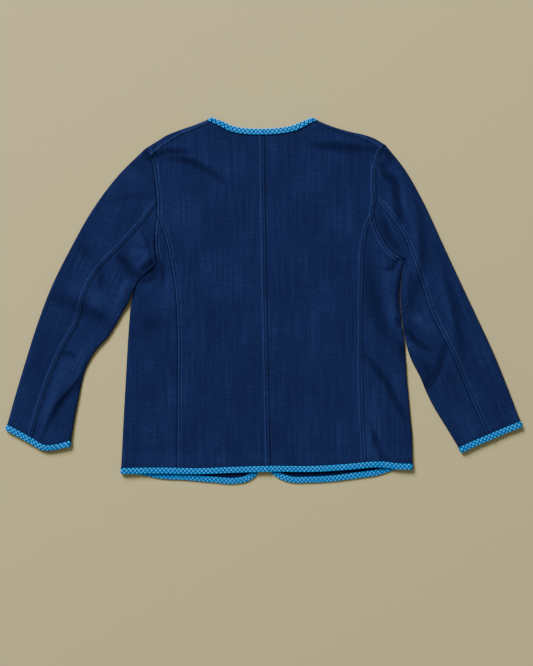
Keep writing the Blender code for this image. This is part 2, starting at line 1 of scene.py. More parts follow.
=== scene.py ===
"""The looks of a sashiko jacket laid flat with its back up, on a plain pale floor.

Shapes are worked out in millimetres in the frame's own axes: X to the right as the jacket is seen,
Y towards the neck, Z up. Left and right are the sides as seen from above. Every cut piece is a
shell of its own cloth, the bindings are folded tapes round its edges, and the topstitching is
raised thread.
"""

import logging
import math
from dataclasses import dataclass, field, fields
from enum import Enum
from typing import Callable, Sequence

import bmesh
import bpy
import numpy as np
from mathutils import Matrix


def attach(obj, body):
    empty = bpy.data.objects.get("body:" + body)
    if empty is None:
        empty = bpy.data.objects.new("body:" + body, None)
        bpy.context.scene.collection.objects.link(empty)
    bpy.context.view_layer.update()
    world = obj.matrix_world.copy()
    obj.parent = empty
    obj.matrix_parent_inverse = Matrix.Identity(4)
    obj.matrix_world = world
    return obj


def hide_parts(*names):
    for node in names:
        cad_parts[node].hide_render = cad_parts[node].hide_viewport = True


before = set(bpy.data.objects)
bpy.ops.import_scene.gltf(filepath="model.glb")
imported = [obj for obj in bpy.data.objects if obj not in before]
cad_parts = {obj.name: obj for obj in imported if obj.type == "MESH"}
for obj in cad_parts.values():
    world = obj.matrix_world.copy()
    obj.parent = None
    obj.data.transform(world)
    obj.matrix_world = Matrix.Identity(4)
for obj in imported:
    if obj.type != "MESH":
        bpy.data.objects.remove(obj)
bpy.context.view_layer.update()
UV_NAME = "flat_cloth"
TONE_NAME = "tone"

MM = 0.001
log = logging.getLogger("sashiko_jacket")

# Cloth and binding, as the frame has them
CLOTH = 1.6
SEAM_GAP = 0.3
TAPE = 0.8
TAPE_CLEAR = 0.3
BAND = 12.0
LIP = TAPE + TAPE_CLEAR
BOUND = LIP + BAND
LEG_SHARE = 0.96
# The repeat of the binding's lattice, and how far topstitches keep from a line's unbound end
LATTICE_REPEAT = 8.0
STITCH_MARGIN = 3.0

# How the layers lie, as the frame has them
LOW = CLOTH / 2
LOW_RISE = LIP + 0.1
LAYER = 5.2
HEM_RISE = 2.0
FOLD_RISE = 0.8
FRONT_EDGE_RISE = 0.8
NECK_POINT_RISE = 2.2
CUFF_RISE = 2.2
# How far in from folds and bound edges the cloth stands higher, and over what reach it comes down
FOLD_RADIUS = 2.8
FOLD_INSET = FOLD_RADIUS + CLOTH / 2
FOLD_REACH = 34.0
EDGE_REACH = 42.0
BOUND_FLAT = BOUND + 1.0
FRONT_FLAT = BOUND + 5.0
FRONT_REACH = EDGE_REACH + 10.0
CUFF_FLAT = 32.0
# How far under their folds the hidden seams run, from their start at the underarm
WRAP_START = 2.0
APEX = 4.0
SIDE_WRAP = 30.0
SLEEVE_WRAP = 36.0
WRAP_GROWTH = 0.3

# How many cells lie along each stretch of a seam or fold
SHOULDER_CELLS = 44
ARMHOLE_CELLS = 34
NOTCH_CELLS = 8
UNDERARM_CELLS = 34
SIDE_CELLS = 122
SLEEVE_CELLS = 136
LOW_ARMHOLE_CELLS = NOTCH_CELLS + UNDERARM_CELLS
BAND_CELLS = 4
ROUND_CELLS = 10
PITCH = 3.3
# Distances from a seam at which a panel has a line of points, so that its felled edge is crisp
SEAM_STEPS = (0.0, 0.5, 1.0, 1.6, 2.2, 3.0, 4.2, 5.4, 6.2, 6.8, 7.4, 8.2, 9.6, 11.6)
# The share of a panel's width that these lines may take up
SEAM_SHARE = 0.4
# How near two points have to be before they are joined, and the least length that is divided by
CLOTH_JOIN = 0.02
TAPE_JOIN = 0.001
THREAD_JOIN = 0.0001
SHORTEST = 1e-9


class Side(Enum):
    """The two sides of the jacket, as seen from above."""

    LEFT = "left"
    RIGHT = "right"


class Lay(Enum):
    """The stretches of cloth that lie at their own heights."""

    BODY = "body"
    SLEEVE = "sleeve"
    LOW = "low"


@dataclass(frozen=True)
class Outline:
    """One side's seams and folds, each a short run of points from its upper end to its lower end."""

    hand: int
    grain: float
    shoulder_fold: tuple
    shoulder_seam: tuple
    armhole: tuple
    princess: tuple
    side_fold: tuple
    outer_fold: tuple
    elbow_seam: tuple
    inner_fold: tuple
    cuff: tuple
    front_edge: tuple
    elbow_start: float
    princess_start: float
    elbow_at_underarm: float
    princess_at_underarm: float


@dataclass(frozen=True)
class Crease:
    """A soft ridge or, with a negative height, a trough along a short line.

    A lean above 0 makes the side to the right of the line steep, and one below 0 the left side.
    """

    line: tuple
    width: float
    height: float
    lean: float = 0.0


OUTLINES = {
    Side.LEFT: Outline(
        hand=1,
        grain=23.0,
        shoulder_fold=((-228, 291), (-207, 304), (-188, 316), (-161, 327), (-132, 337), (-97, 351)),
        shoulder_seam=((-217, 274), (-190, 297), (-159, 316), (-131, 327.5), (-104, 340), (-91, 347)),
        armhole=((-228, 291), (-217, 274), (-208, 231), (-204, 185), (-204, 166), (-208, 126),
                 (-207, 95), (-203, 74)),
        princess=((-204, 166), (-190, 128), (-178, 76), (-169, 20), (-166, -26), (-165, -191),
                  (-165, -332)),
        side_fold=((-203, 74), (-218, 59), (-235, 41.5), (-249.5, 17), (-255, -10), (-258, -40),
                   (-260, -68), (-264, -137), (-267, -191), (-270, -245), (-274, -332)),
        outer_fold=((-228, 291), (-280, 239), (-326, 178), (-370, 101), (-410, 20), (-437, -53),
                    (-458, -120), (-478, -187), (-495, -249)),
        elbow_seam=((-204, 185), (-236, 145), (-274, 103), (-312, 64), (-342, 14), (-355, -39),
                    (-386, -95), (-415, -164), (-448, -274)),
        inner_fold=((-203, 74), (-219.5, 61), (-237, 43.5), (-251.5, 18.5), (-262, -7), (-278, -37),
                    (-297, -68), (-324, -99), (-341, -130), (-353, -176), (-362, -222), (-371.5, -281)),
        cuff=((-495, -249), (-472, -261), (-448, -274), (-420, -288), (-397, -286.5), (-371.5, -281)),
        front_edge=((-97, 351), (-95, 330), (-88, 308), (-74, 287), (-53, 270), (-30, 257), (-11, 240),
                    (-1.2, 216), (-0.8, 208), (-0.8, 202), (-0.8, -100), (-0.8, -283), (-0.8, -291),
                    (-4.5, -316), (-14, -335), (-30, -346.5), (-54, -351.5), (-98, -349), (-157, -344),
                    (-197, -342), (-242, -335), (-274, -332)),
        elbow_start=0.475,
        princess_start=0.565,
        elbow_at_underarm=0.215,
        princess_at_underarm=0.19,
    ),
    Side.RIGHT: Outline(
        hand=-1,
        grain=-22.0,
        shoulder_fold=((234, 298), (214, 310), (196, 317), (169, 323), (131, 334), (91, 350.5)),
        shoulder_seam=((227, 287), (205, 302), (179, 313), (146, 322.5), (104, 339), (85, 347)),
        armhole=((234, 298), (227, 287), (217, 260), (213.5, 222), (215, 195), (211, 165), (217, 139),
                 (229, 114), (245, 93.5), (269, 77)),
        princess=((211, 165), (199.5, 139), (192, 97), (190, 49), (189, -26), (190, -191), (196, -321)),
        side_fold=((269, 77), (263.5, 50), (260.5, 16), (263.5, -34), (270, -82), (272.5, -114),
                   (274, -145), (277, -176), (281, -222), (284, -252), (285, -324)),
        outer_fold=((234, 298), (269, 254), (304, 193), (340, 116), (375, 40), (408, -30), (440, -99),
                    (468, -168), (496, -242)),
        elbow_seam=((215, 195), (242, 162), (266, 128), (286, 80), (303, 34), (323, -26), (361, -101),
                    (388, -166), (433, -268)),
        inner_fold=((269, 77), (265.5, 50), (262.5, 16), (265.5, -34), (273.5, -82), (283, -114),
                    (299, -145), (312, -176), (327, -206), (346, -237), (365, -268), (379, -292)),
        cuff=((496, -242), (463, -255), (433, -268), (406, -279.5), (379, -292)),
        front_edge=((91, 350.5), (90, 330), (84, 308), (72, 287), (52, 270), (30, 257), (11, 240),
                    (1.2, 216), (0.8, 208), (0.8, 202), (0.8, -100), (0.8, -281), (0.8, -289),
                    (5, -314), (14, -330), (28, -341), (52, -349), (85, -349.5), (135, -347),
                    (173, -342), (223, -335), (262, -327), (285, -324)),
        elbow_start=0.43,
        princess_start=0.55,
        elbow_at_underarm=0.245,
        princess_at_underarm=0.18,
    ),
}
NECK = ((-91, 347), (-77, 342.5), (-63, 336), (-42, 331.5), (-20, 329.7), (0, 329.5), (21, 330.5),
        (42, 333), (62, 338), (74, 343), (85, 347))
CENTRE_BACK = ((0, 329.5), (2, 193), (5, 1), (9, -191), (12, -328))
HEM = ((-274, -332), (-186, -331), (-119, -332), (-60, -330), (12, -328), (106, -327), (164, -322.5),
       (217, -318), (233, -319), (252, -322), (285, -324))
# The stitched lower edge of the neck's inner facing
FACING = ((-96, 316), (-86, 302), (-69, 290), (-40, 283), (-13, 280), (14, 281), (39, 286), (62, 297),
          (79, 312))

# Broad creases of the back and of both sleeves, as the frame has them
CREASES = (
    Crease(((-214, 266), (-165, 268), (-122, 251), (-80, 231)), 13, -1.3),
    Crease(((-205, 284), (-160, 285), (-112, 268)), 13, 1.6),
    Crease(((206, 268), (165, 284), (118, 295)), 12, -1.6),
    Crease(((208, 284), (165, 302), (125, 310)), 11, 1.4),
    Crease(((-207, 120), (-196, 60), (-193, 18)), 10, -1.6),
    Crease(((-181, 60), (-184, -20), (-190, -90)), 15, 1.5),
    Crease(((-395, 30), (-362, -9)), 14, -1.4),
    Crease(((-330, 8), (-305, -30)), 13, 2.4),
    Crease(((-312, 78), (-300, 55)), 12, -1.3),
    Crease(((-337, -112), (-372, -162), (-410, -239)), 12, -1.9),
    Crease(((-360, -110), (-395, -165), (-428, -235)), 13, 2.2),
    Crease(((222, 196), (252, 150), (268, 112)), 10, 2.4),
    Crease(((222, 158), (236, 124)), 9, -1.6),
    Crease(((280, -44), (312, -86)), 13, -1.6),
    Crease(((292, -28), (330, -74)), 13, 2.8),
    Crease(((216, 24), (233, -60)), 15, -1.3),
    Crease(((238, 20), (250, -60), (252, -130)), 13, 1.8),
    Crease(((212, -190), (219, -260), (222, -318)), 20, 3.2),
    Crease(((240, -200), (246, -270), (246, -322)), 11, -0.9),
)
# The rolls of sleeve cloth that stand up beside the body under each arm
BULGES = (
    Crease(((-212, 86), (-226, 74), (-240, 63)), 9, 6.5),
    Crease(((-249, 37), (-261, 20), (-272, -8)), 9, 4.5),
    Crease(((279, 66), (273, 16), (275, -6)), 9, 4.5),
)
# The folds that the laid cloth shows, on top of the frame's broad ones
FINE_CREASES = (
    Crease(((-240, 133), (-226, 101)), 8, 1.8, -0.4),
    Crease(((-236, 137), (-220, 103), (-213, 66)), 3.6, -1.7),
    Crease(((-199, 130), (-209, 99), (-203, 74)), 3.6, -1.5),
    Crease(((-222, 93), (-238, 87), (-255, 91)), 9, 2.6),
    Crease(((-274, 80), (-263, 68), (-253, 53), (-241, 43)), 6.5, -9.0),
    Crease(((-291, 55), (-282, 32), (-272, 9)), 9, 2.2),
    Crease(((-197, 74), (-193, 53), (-195, 24)), 3.2, -1.7),
    Crease(((-240, 37), (-222, 43), (-205, 60)), 8.5, -7.0),
    Crease(((-243, 20), (-255, -5), (-261, -37), (-259, -68)), 4, -3.5),
    Crease(((-316, 68), (-311, 49), (-312, 22)), 6, -1.9),
    Crease(((-410, 32), (-376, 18), (-345, 12), (-314, 5), (-286, -14)), 14, 1.3, 0.3),
    Crease(((-407, 7), (-364, -11), (-322, -32), (-291, -51)), 12, -2.8),
    Crease(((-389, -103), (-372, -105), (-357, -110)), 6, -1.8),
    Crease(((-341, -110), (-355, -145), (-374, -170), (-393, -193), (-408, -220),
            (-422, -251)), 7.5, 3.6, -0.7),
    Crease(((-336, -122), (-347, -151), (-366, -176), (-385, -197), (-401, -226)), 5.5, -2.6),
    Crease(((-437, -237), (-426, -260)), 8, -0.8),
    Crease(((-299, 185), (-251, 197), (-209, 197)), 7, -0.9),
    Crease(((-349, 105), (-334, 80)), 10, -1.2),
    Crease(((-261, 276), (-236, 254)), 8, -1.2),
    Crease(((-284, 247), (-245, 228)), 12, 1.1),
    Crease(((-238, -41), (-203, -51), (-182, -37)), 16, -1.3),
    Crease(((-261, -70), (-232, -68)), 9, -0.9),
    Crease(((-216, 270), (-193, 281), (-142, 283)), 6.5, -3.2),
    Crease(((-188, 272), (-138, 264), (-111, 249), (-72, 226)), 5.5, -2.8),
    Crease(((-180, 276), (-145, 274), (-109, 260)), 6, 0.8),
    Crease(((-228, 285), (-220, 270), (-207, 276)), 3.2, -3.0),
    Crease(((96, 295), (156, 291), (214, 287)), 7, -3.2),
    Crease(((221, 283), (244, 274), (235, 256)), 8, -2.8),
    Crease(((229, 258), (235, 239), (252, 224), (256, 199), (260, 172), (265, 149)), 6, -5.5),
    Crease(((244, 258), (265, 231), (273, 193), (277, 164)), 8, 3.0),
    Crease(((223, 239), (239, 208), (248, 178)), 6, 1.5),
    Crease(((229, 216), (254, 203)), 4.5, -1.2),
    Crease(((231, 149), (239, 124), (260, 93)), 6.5, -3.8),
    Crease(((264, 231), (279, 199), (290, 160), (294, 116), (294, 74), (285, 30), (275, -7)), 9, 2.2, -0.2),
    Crease(((273, 239), (287, 212), (298, 174), (306, 132), (308, 93), (304, 49), (292, 5),
            (281, -26)), 8, -1.5),
    Crease(((335, 74), (344, 30), (356, -18), (365, -66), (375, -110)), 10, 2.0, -0.4),
    Crease(((350, 49), (358, 16), (369, -22), (379, -72), (386, -107)), 8, -2.2),
    Crease(((271, 78), (256, 74), (244, 59), (233, 59)), 4.2, -4.5),
    Crease(((239, 84), (246, 60)), 4, -1.3),
    Crease(((233, 82), (239, 30), (246, -14), (258, -53)), 10, 1.5),
    Crease(((271, 74), (262, 39), (258, 1), (264, -41)), 4.5, -3.0),
    Crease(((264, -85), (271, -118)), 5, -3.0),
    Crease(((210, 74), (208, 24), (217, -24), (240, -68), (260, -99)), 12, -2.3),
    Crease(((256, -37), (273, -59), (290, -76), (317, -97)), 4.0, -9.0),
    Crease(((273, -32), (288, -36), (315, -57)), 7, 0.7),
    Crease(((271, -82), (290, -103)), 8, 2.4),
    Crease(((352, -87), (342, -116), (333, -141), (313, -168)), 6.5, -3.0),
    Crease(((308, -122), (321, -145), (310, -174)), 9, -2.8),
    Crease(((360, -99), (350, -133), (335, -162)), 8, 0.6),
    Crease(((196, -110), (219, -135), (237, -160), (252, -191), (275, -233)), 5.5, -4.0),
    Crease(((229, -118), (250, -151), (265, -183)), 9, 1.2),
    Crease(((206, -237), (212, -260), (219, -283)), 4, -1.6),
    Crease(((212, -256), (221, -283), (235, -316)), 5.5, -4.0),
    Crease(((194, -237), (202, -277), (210, -310)), 8, 1.5, -0.5),
)


def run_along(line: np.ndarray) -> np.ndarray:
    """The distance from a line's first point to each of its points, along the line."""
    return np.append(0, np.cumsum(np.linalg.norm(np.diff(line, axis=0), axis=1)))


def between(where: np.ndarray | float, run: np.ndarray, line: np.ndarray) -> np.ndarray:
    """A line of points read by linear steps at other places along its run."""
    return np.stack([np.interp(where, run, column) for column in line.T], axis=-1)


class Curve:
    """A smooth line through a few points, read by its share of the whole length.

    Between two points the line is a cubic whose slopes at both are the central differences.
    """

    STEPS = 1200
    KNOT = 8

    def __init__(self, points: Sequence[Sequence[float]]) -> None:
        """Works the line out as a dense run of points.

        Args:
            points: a few places along the line, in millimetres.
        """
        points = np.array(points, float)
        chord = run_along(points)
        slope = np.gradient(points, chord, axis=0)
        where = np.linspace(0, chord[-1], self.STEPS)
        span = np.clip(np.searchsorted(chord, where, side="right") - 1, 0, len(points) - 2)
        size = (chord[span + 1] - chord[span])[:, None]
        s = (where - chord[span])[:, None] / size
        self.points = (
            (2 * s**3 - 3 * s**2 + 1) * points[span]
            + (s**3 - 2 * s**2 + s) * size * slope[span]
            + (3 * s**2 - 2 * s**3) * points[span + 1]
            + (s**3 - s**2) * size * slope[span + 1]
        )
        run = run_along(self.points)
        self.length = run[-1]
        self.share = run / run[-1]
        along = np.gradient(self.points, axis=0)
        self.along = along / np.linalg.norm(along, axis=1)[:, None]

    def at(self, share: np.ndarray) -> np.ndarray:
        """Points at these shares of the length."""
        return between(share, self.share, self.points)

    def way(self, share: np.ndarray) -> np.ndarray:
        """Unit directions of the run at these shares of the length."""
        return between(share, self.share, self.along)

    def beside(self, share: np.ndarray, distance: np.ndarray | float) -> np.ndarray:
        """Points moved by a distance to the left of the way that the curve runs."""
        x, y = np.moveaxis(self.way(share), -1, 0)
        return self.at(share) + np.stack([-y, x], axis=-1) * np.reshape(distance, (-1, 1))

    def back(self, distance: float) -> float:
        """The share at this distance before the end."""
        return 1 - distance / self.length

    def nearest(self, point: Sequence[float]) -> float:
        """The share of the curve's point that is nearest to a place."""
        return self.share[np.argmin(np.linalg.norm(self.points - point, axis=1))]

    def locate(self, x: np.ndarray, y: np.ndarray) -> tuple[np.ndarray, np.ndarray, np.ndarray]:
        """Places told by the curve: square to it from its nearest knot, and along it.

        Args:
            x: places' first coordinates.
            y: places' second coordinates.

        Returns:
            The offset to the left, the run from the start, and the distance past either end.
        """
        knots, way, share = (part[:: self.KNOT] for part in (self.points, self.along, self.share))
        gaps = (x[..., None] - knots[:, 0]) ** 2 + (y[..., None] - knots[:, 1]) ** 2
        first = gaps.argmin(axis=-1)
        dx, dy = x - knots[first, 0], y - knots[first, 1]
        ahead = dx * way[first, 0] + dy * way[first, 1]
        offset = dy * way[first, 0] - dx * way[first, 1]
        run = share[first] * self.length + ahead
        beyond = np.maximum(0, np.maximum(-run, run - self.length))
        return offset, run, beyond

    def distance(self, x: np.ndarray, y: np.ndarray) -> np.ndarray:
        """The distance from each place to the curve."""
        offset, _, beyond = self.locate(x, y)
        return np.hypot(offset, beyond)


def smooth(value: np.ndarray) -> np.ndarray:
    """0 below 0, 1 above 1, and a soft cubic step between."""
    value = np.clip(value, 0, 1)
    return value * value * (3 - 2 * value)


def bell(value: np.ndarray, width: float) -> np.ndarray:
    """A bell curve: 1 at 0, falling as e to the minus square of value over width."""
    return np.exp(-((value / width) ** 2))


def step(value: np.ndarray, start: float, end: float) -> np.ndarray:
    """A soft step from 0 at the start to 1 at the end, which may be below the start."""
    return smooth((value - start) / (end - start))


@dataclass(frozen=True)
class Ridge:
    """A bell-shaped ridge at a distance from a line. Its height may be a strength or a depth."""

    place: float
    width: float
    height: float

    def at(self, offset: np.ndarray) -> np.ndarray:
        """How high the ridge is at these distances from the line."""
        return self.height * bell(offset - self.place, self.width)


def near(curves: Sequence[Curve], x: np.ndarray, y: np.ndarray, full: float, reach: float) -> np.ndarray:
    """1 within full of any of the curves, falling to 0 at reach."""
    gap = np.min([curve.distance(x, y) for curve in curves], axis=0)
    return step(gap, reach, full)


def pieced(*stretches: tuple[int, float]) -> np.ndarray:
    """Shares from runs of (cells, end share), starting at 0."""
    shares, start = [np.zeros(1)], 0.0
    for cells, end in stretches:
        shares.append(np.linspace(start, end, cells + 1)[1:])
        start = end
    return np.concatenate(shares)


def spread(length: float, pitch: float, start: bool = False, end: bool = False) -> np.ndarray:
    """Shares across a panel, closer together beside a felled seam.

    Args:
        length: the panel's width there.
        pitch: the usual distance between two lines of points.
        start: whether a seam runs along the first line.
        end: whether a seam runs along the last line.

    Returns:
        Shares of the width, from 0 to 1.
    """
    steps = np.array(SEAM_STEPS)
    steps = steps[steps < length * SEAM_SHARE]
    first = steps if start else np.zeros(1)
    last = length - (steps[::-1] if end else np.zeros(1))
    cells = max(1, round((last[0] - first[-1]) / pitch))
    middle = np.linspace(first[-1], last[0], cells + 1)
    return np.concatenate([first[:-1], middle, last[1:]]) / length


def fitted(points: np.ndarray, start: np.ndarray, end: np.ndarray, share: np.ndarray) -> np.ndarray:
    """The same line, moved by a share of each end's miss so that its ends meet two given points."""
    s = share[:, None]
    return points + (1 - s) * (start - points[0]) + s * (end - points[-1])


def patch(top: np.ndarray, bottom: np.ndarray, left: np.ndarray, right: np.ndarray,
          share: np.ndarray) -> np.ndarray:
    """Coons patch: the sum of both ruled surfaces between opposite lines, less the corners' blend.

    Args:
        top: points of the first row.
        bottom: points of the last row.
        left: points of the first column.
        right: points of the last column.
        share: how far across each column lies, from 0 to 1.

    Returns:
        Rows of points from top to bottom.
    """
    top, bottom = fitted(top, left[0], right[0], share), fitted(bottom, left[-1], right[-1], share)
    u = share[None, :, None]
    v = np.linspace(0, 1, len(left))[:, None, None]
    corners = (
        (1 - u) * (1 - v) * left[0] + u * (1 - v) * right[0] + (1 - u) * v * left[-1] + u * v * right[-1]
    )
    ruled = (1 - v) * top[None] + v * bottom[None]
    return ruled + (1 - u) * left[:, None] + u * right[:, None] - corners


def straight(start: np.ndarray, end: np.ndarray, share: np.ndarray) -> np.ndarray:
    """Rows of points in straight lines from one line to another, at shares of the way."""
    share = share[None, :, None]
    return (1 - share) * start[:, None] + share * end[:, None]


def even(cells: int) -> np.ndarray:
    """Even shares from 0 to 1."""
    return np.linspace(0, 1, cells + 1)


class Half:
    """One side of the jacket: its seams and folds sampled once, so that neighbours share them."""

    def __init__(self, outline: Outline) -> None:
        """Samples the seams.

        Args:
            outline: the side's table of seams and folds.
        """
        self.outline = outline
        self.hand = outline.hand
        self.line = {item.name: Curve(getattr(outline, item.name)) for item in fields(outline)
                     if isinstance(getattr(outline, item.name), tuple)}
        arm = self.line["armhole"]
        self.fold_start = FOLD_INSET / arm.length
        self.seam_end = arm.nearest(outline.shoulder_seam[0])
        shares = pieced((NOTCH_CELLS, self.seam_end), (ARMHOLE_CELLS, outline.elbow_start),
                        (NOTCH_CELLS, outline.princess_start), (UNDERARM_CELLS, 1.0))
        shares[0] = self.fold_start
        self.arm = arm.at(shares)
        self.elbow_index = NOTCH_CELLS + ARMHOLE_CELLS
        self.princess_index = self.elbow_index + NOTCH_CELLS
        self.low_arm = arm.at(np.linspace(self.fold_start, 1, LOW_ARMHOLE_CELLS + 1))
        self.princess = self.bound_end("princess", UNDERARM_CELLS, outline.princess_at_underarm, SIDE_CELLS)
        self.elbow = self.bound_end("elbow_seam", NOTCH_CELLS + UNDERARM_CELLS,
                                    outline.elbow_at_underarm, SLEEVE_CELLS)

    def apex_arm(self, index: int) -> np.ndarray:
        """The armhole from a seam's start to the underarm, begun a little way along it."""
        arm = self.arm[index:]
        away = arm - arm[0]
        fade = bell(np.linalg.norm(away, axis=1), APEX)[:, None]
        return arm + APEX * away[1] / np.linalg.norm(away[1]) * fade

    def to_edge(self, curve: Curve, *stretches: tuple[int, float]) -> np.ndarray:
        """Shares down to a bound edge, whose last cells are the band under the binding."""
        cells = stretches[-1][0]
        return pieced(*stretches[:-1], (cells, curve.back(BOUND)), (BAND_CELLS, curve.back(LIP)))

    def bound_end(self, name: str, first: int, middle: float, rest: int) -> np.ndarray:
        """Points of a seam down to a bound edge."""
        curve = self.line[name]
        return curve.at(self.to_edge(curve, (first, middle), (rest, 1.0)))

    def fold(self, name: str, cells: int, inward: int) -> tuple[np.ndarray, np.ndarray]:
        """A fold's own line and the line where its round begins, down to a bound edge."""
        curve = self.line[name]
        shares = self.to_edge(curve, (cells, 1.0))
        return curve.beside(shares, inward * CLOTH / 2), curve.beside(shares, inward * FOLD_INSET)

    def wrap_line(self, name: str, cells: int, inward: int, width: float) -> np.ndarray:
        """The hidden seam, which leaves the fold at the underarm and soon runs beside it."""
        curve = self.line[name]
        shares = self.to_edge(curve, (cells, 1.0))
        growth = FOLD_INSET + WRAP_START + (width - WRAP_START) * smooth(shares / WRAP_GROWTH)
        return curve.beside(shares, inward * growth)


HALVES = {side: Half(outline) for side, outline in OUTLINES.items()}
NECK_LINE, CENTRE_LINE, HEM_LINE, FACING_LINE = (Curve(line) for line in (NECK, CENTRE_BACK, HEM, FACING))


def lines_of(*names: str) -> list[Curve]:
    """The named seams and folds of both sides."""
    return [half.line[name] for half in HALVES.values() for name in names]


@dataclass(frozen=True)
class Felled:
    """A felled seam: its line, the side that its band lies on, and how strongly it shows.

    Across the seam the cloth is a sunk line, then a flat raised band with a soft outer step, with a
    slight dip under each row of stitches. Along it the band is puckered by a sum of sine waves. Its
    stitches keep clear of both ends of the line by their own distances.
    """

    curve: Curve
    band: int
    strength: float = 1.0
    width: float = 8.4
    rise: float = 0.8
    rows: tuple = (1.8, 7.0)
    lay: Lay = Lay.BODY
    clear: tuple = (STITCH_MARGIN, BOUND)
    end_fade: float = 2.5
    # Where the band's steps start and end: from the line, and from the band's outer border
    inner_step: tuple = (0.2, 1.3)
    outer_step: tuple = (1.0, -0.5)
    sunk_line: Ridge = Ridge(-0.2, 1.3, 0.9)
    row_dip: Ridge = Ridge(0.0, 0.7, 0.22)
    pucker: float = 0.24
    waves: tuple = ((12.7, 0.3, 1.0), (7.9, 1.9, 0.7), (21.0, 4.0, 0.8))
    # Worn and dark lines in the tone, in turn from the seam, the outer border, the seam and the middle; the
    # dark line at the seam is painted shade in the sunk line there
    worn_inner: Ridge = Ridge(1.4, 1.1, 0.9)
    worn_outer: Ridge = Ridge(-0.8, 1.2, 0.75)
    dark_line: Ridge = Ridge(-1.0, 1.2, 1.1)
    dark_middle: Ridge = Ridge(0.0, 1.0, 0.45)
    uneven: float = 0.25
    uneven_stretch: float = 0.6
    uneven_shift: float = 3.0

    def wobble(self, run: np.ndarray) -> np.ndarray:
        """The sum of sine waves along the seam, about -1 to 1."""
        total = sum(size * np.sin(2 * np.pi * run / length + phase) for length, phase, size in self.waves)
        return total / sum(size for _, _, size in self.waves)

    def read(self, x: np.ndarray, y: np.ndarray) -> tuple[np.ndarray, np.ndarray, np.ndarray]:
        """The offset towards the band, the run, and a weight that ends past the seam's ends."""
        offset, run, beyond = self.curve.locate(x, y)
        return offset * self.band, run, self.strength * step(beyond, self.end_fade, 0)

    def height(self, x: np.ndarray, y: np.ndarray) -> np.ndarray:
        """How far the seam lifts or sinks the cloth."""
        offset, run, weight = self.read(x, y)
        band = step(offset, *self.inner_step) * step(offset - self.width, *self.outer_step)
        sunk = self.sunk_line.at(offset) + sum(self.row_dip.at(offset - row) for row in self.rows)
        puckered = self.pucker * self.wobble(run) * bell(offset - self.width / 2, self.width)
        return weight * (self.rise * band - sunk + puckered)

    def tone(self, x: np.ndarray, y: np.ndarray) -> np.ndarray:
        """Worn ridges above 0; below 0, the sunk seam line's painted shade and a dark line along the band's
        middle.
        """
        offset, run, weight = self.read(x, y)
        uneven = 1 - self.uneven + self.uneven * self.wobble(run * self.uneven_stretch + self.uneven_shift)
        worn = self.worn_inner.at(offset) + self.worn_outer.at(offset - self.width)
        # The dark line at the seam is painted shade where the cloth sinks
        dark = self.dark_line.at(offset) + self.dark_middle.at(offset - self.width / 2)
        return weight * (uneven * worn - dark)


def felled_seams() -> tuple[Felled, ...]:
    """Every felled seam that shows from above."""
    seams = [Felled(CENTRE_LINE, -1, clear=(BOUND, BOUND))]
    for half in HALVES.values():
        hole = half.line["armhole"]
        below_shoulder = half.seam_end * hole.length + STITCH_MARGIN
        seams += [
            Felled(half.line["princess"], half.hand, 0.8),
            Felled(hole, half.hand, 1.1, clear=(below_shoulder, STITCH_MARGIN)),
            Felled(half.line["elbow_seam"], -half.hand, 0.85, lay=Lay.SLEEVE),
            Felled(half.line["shoulder_seam"], half.hand, 1.0, 4.8, rows=(1.4, 3.5)),
        ]
    return tuple(seams)


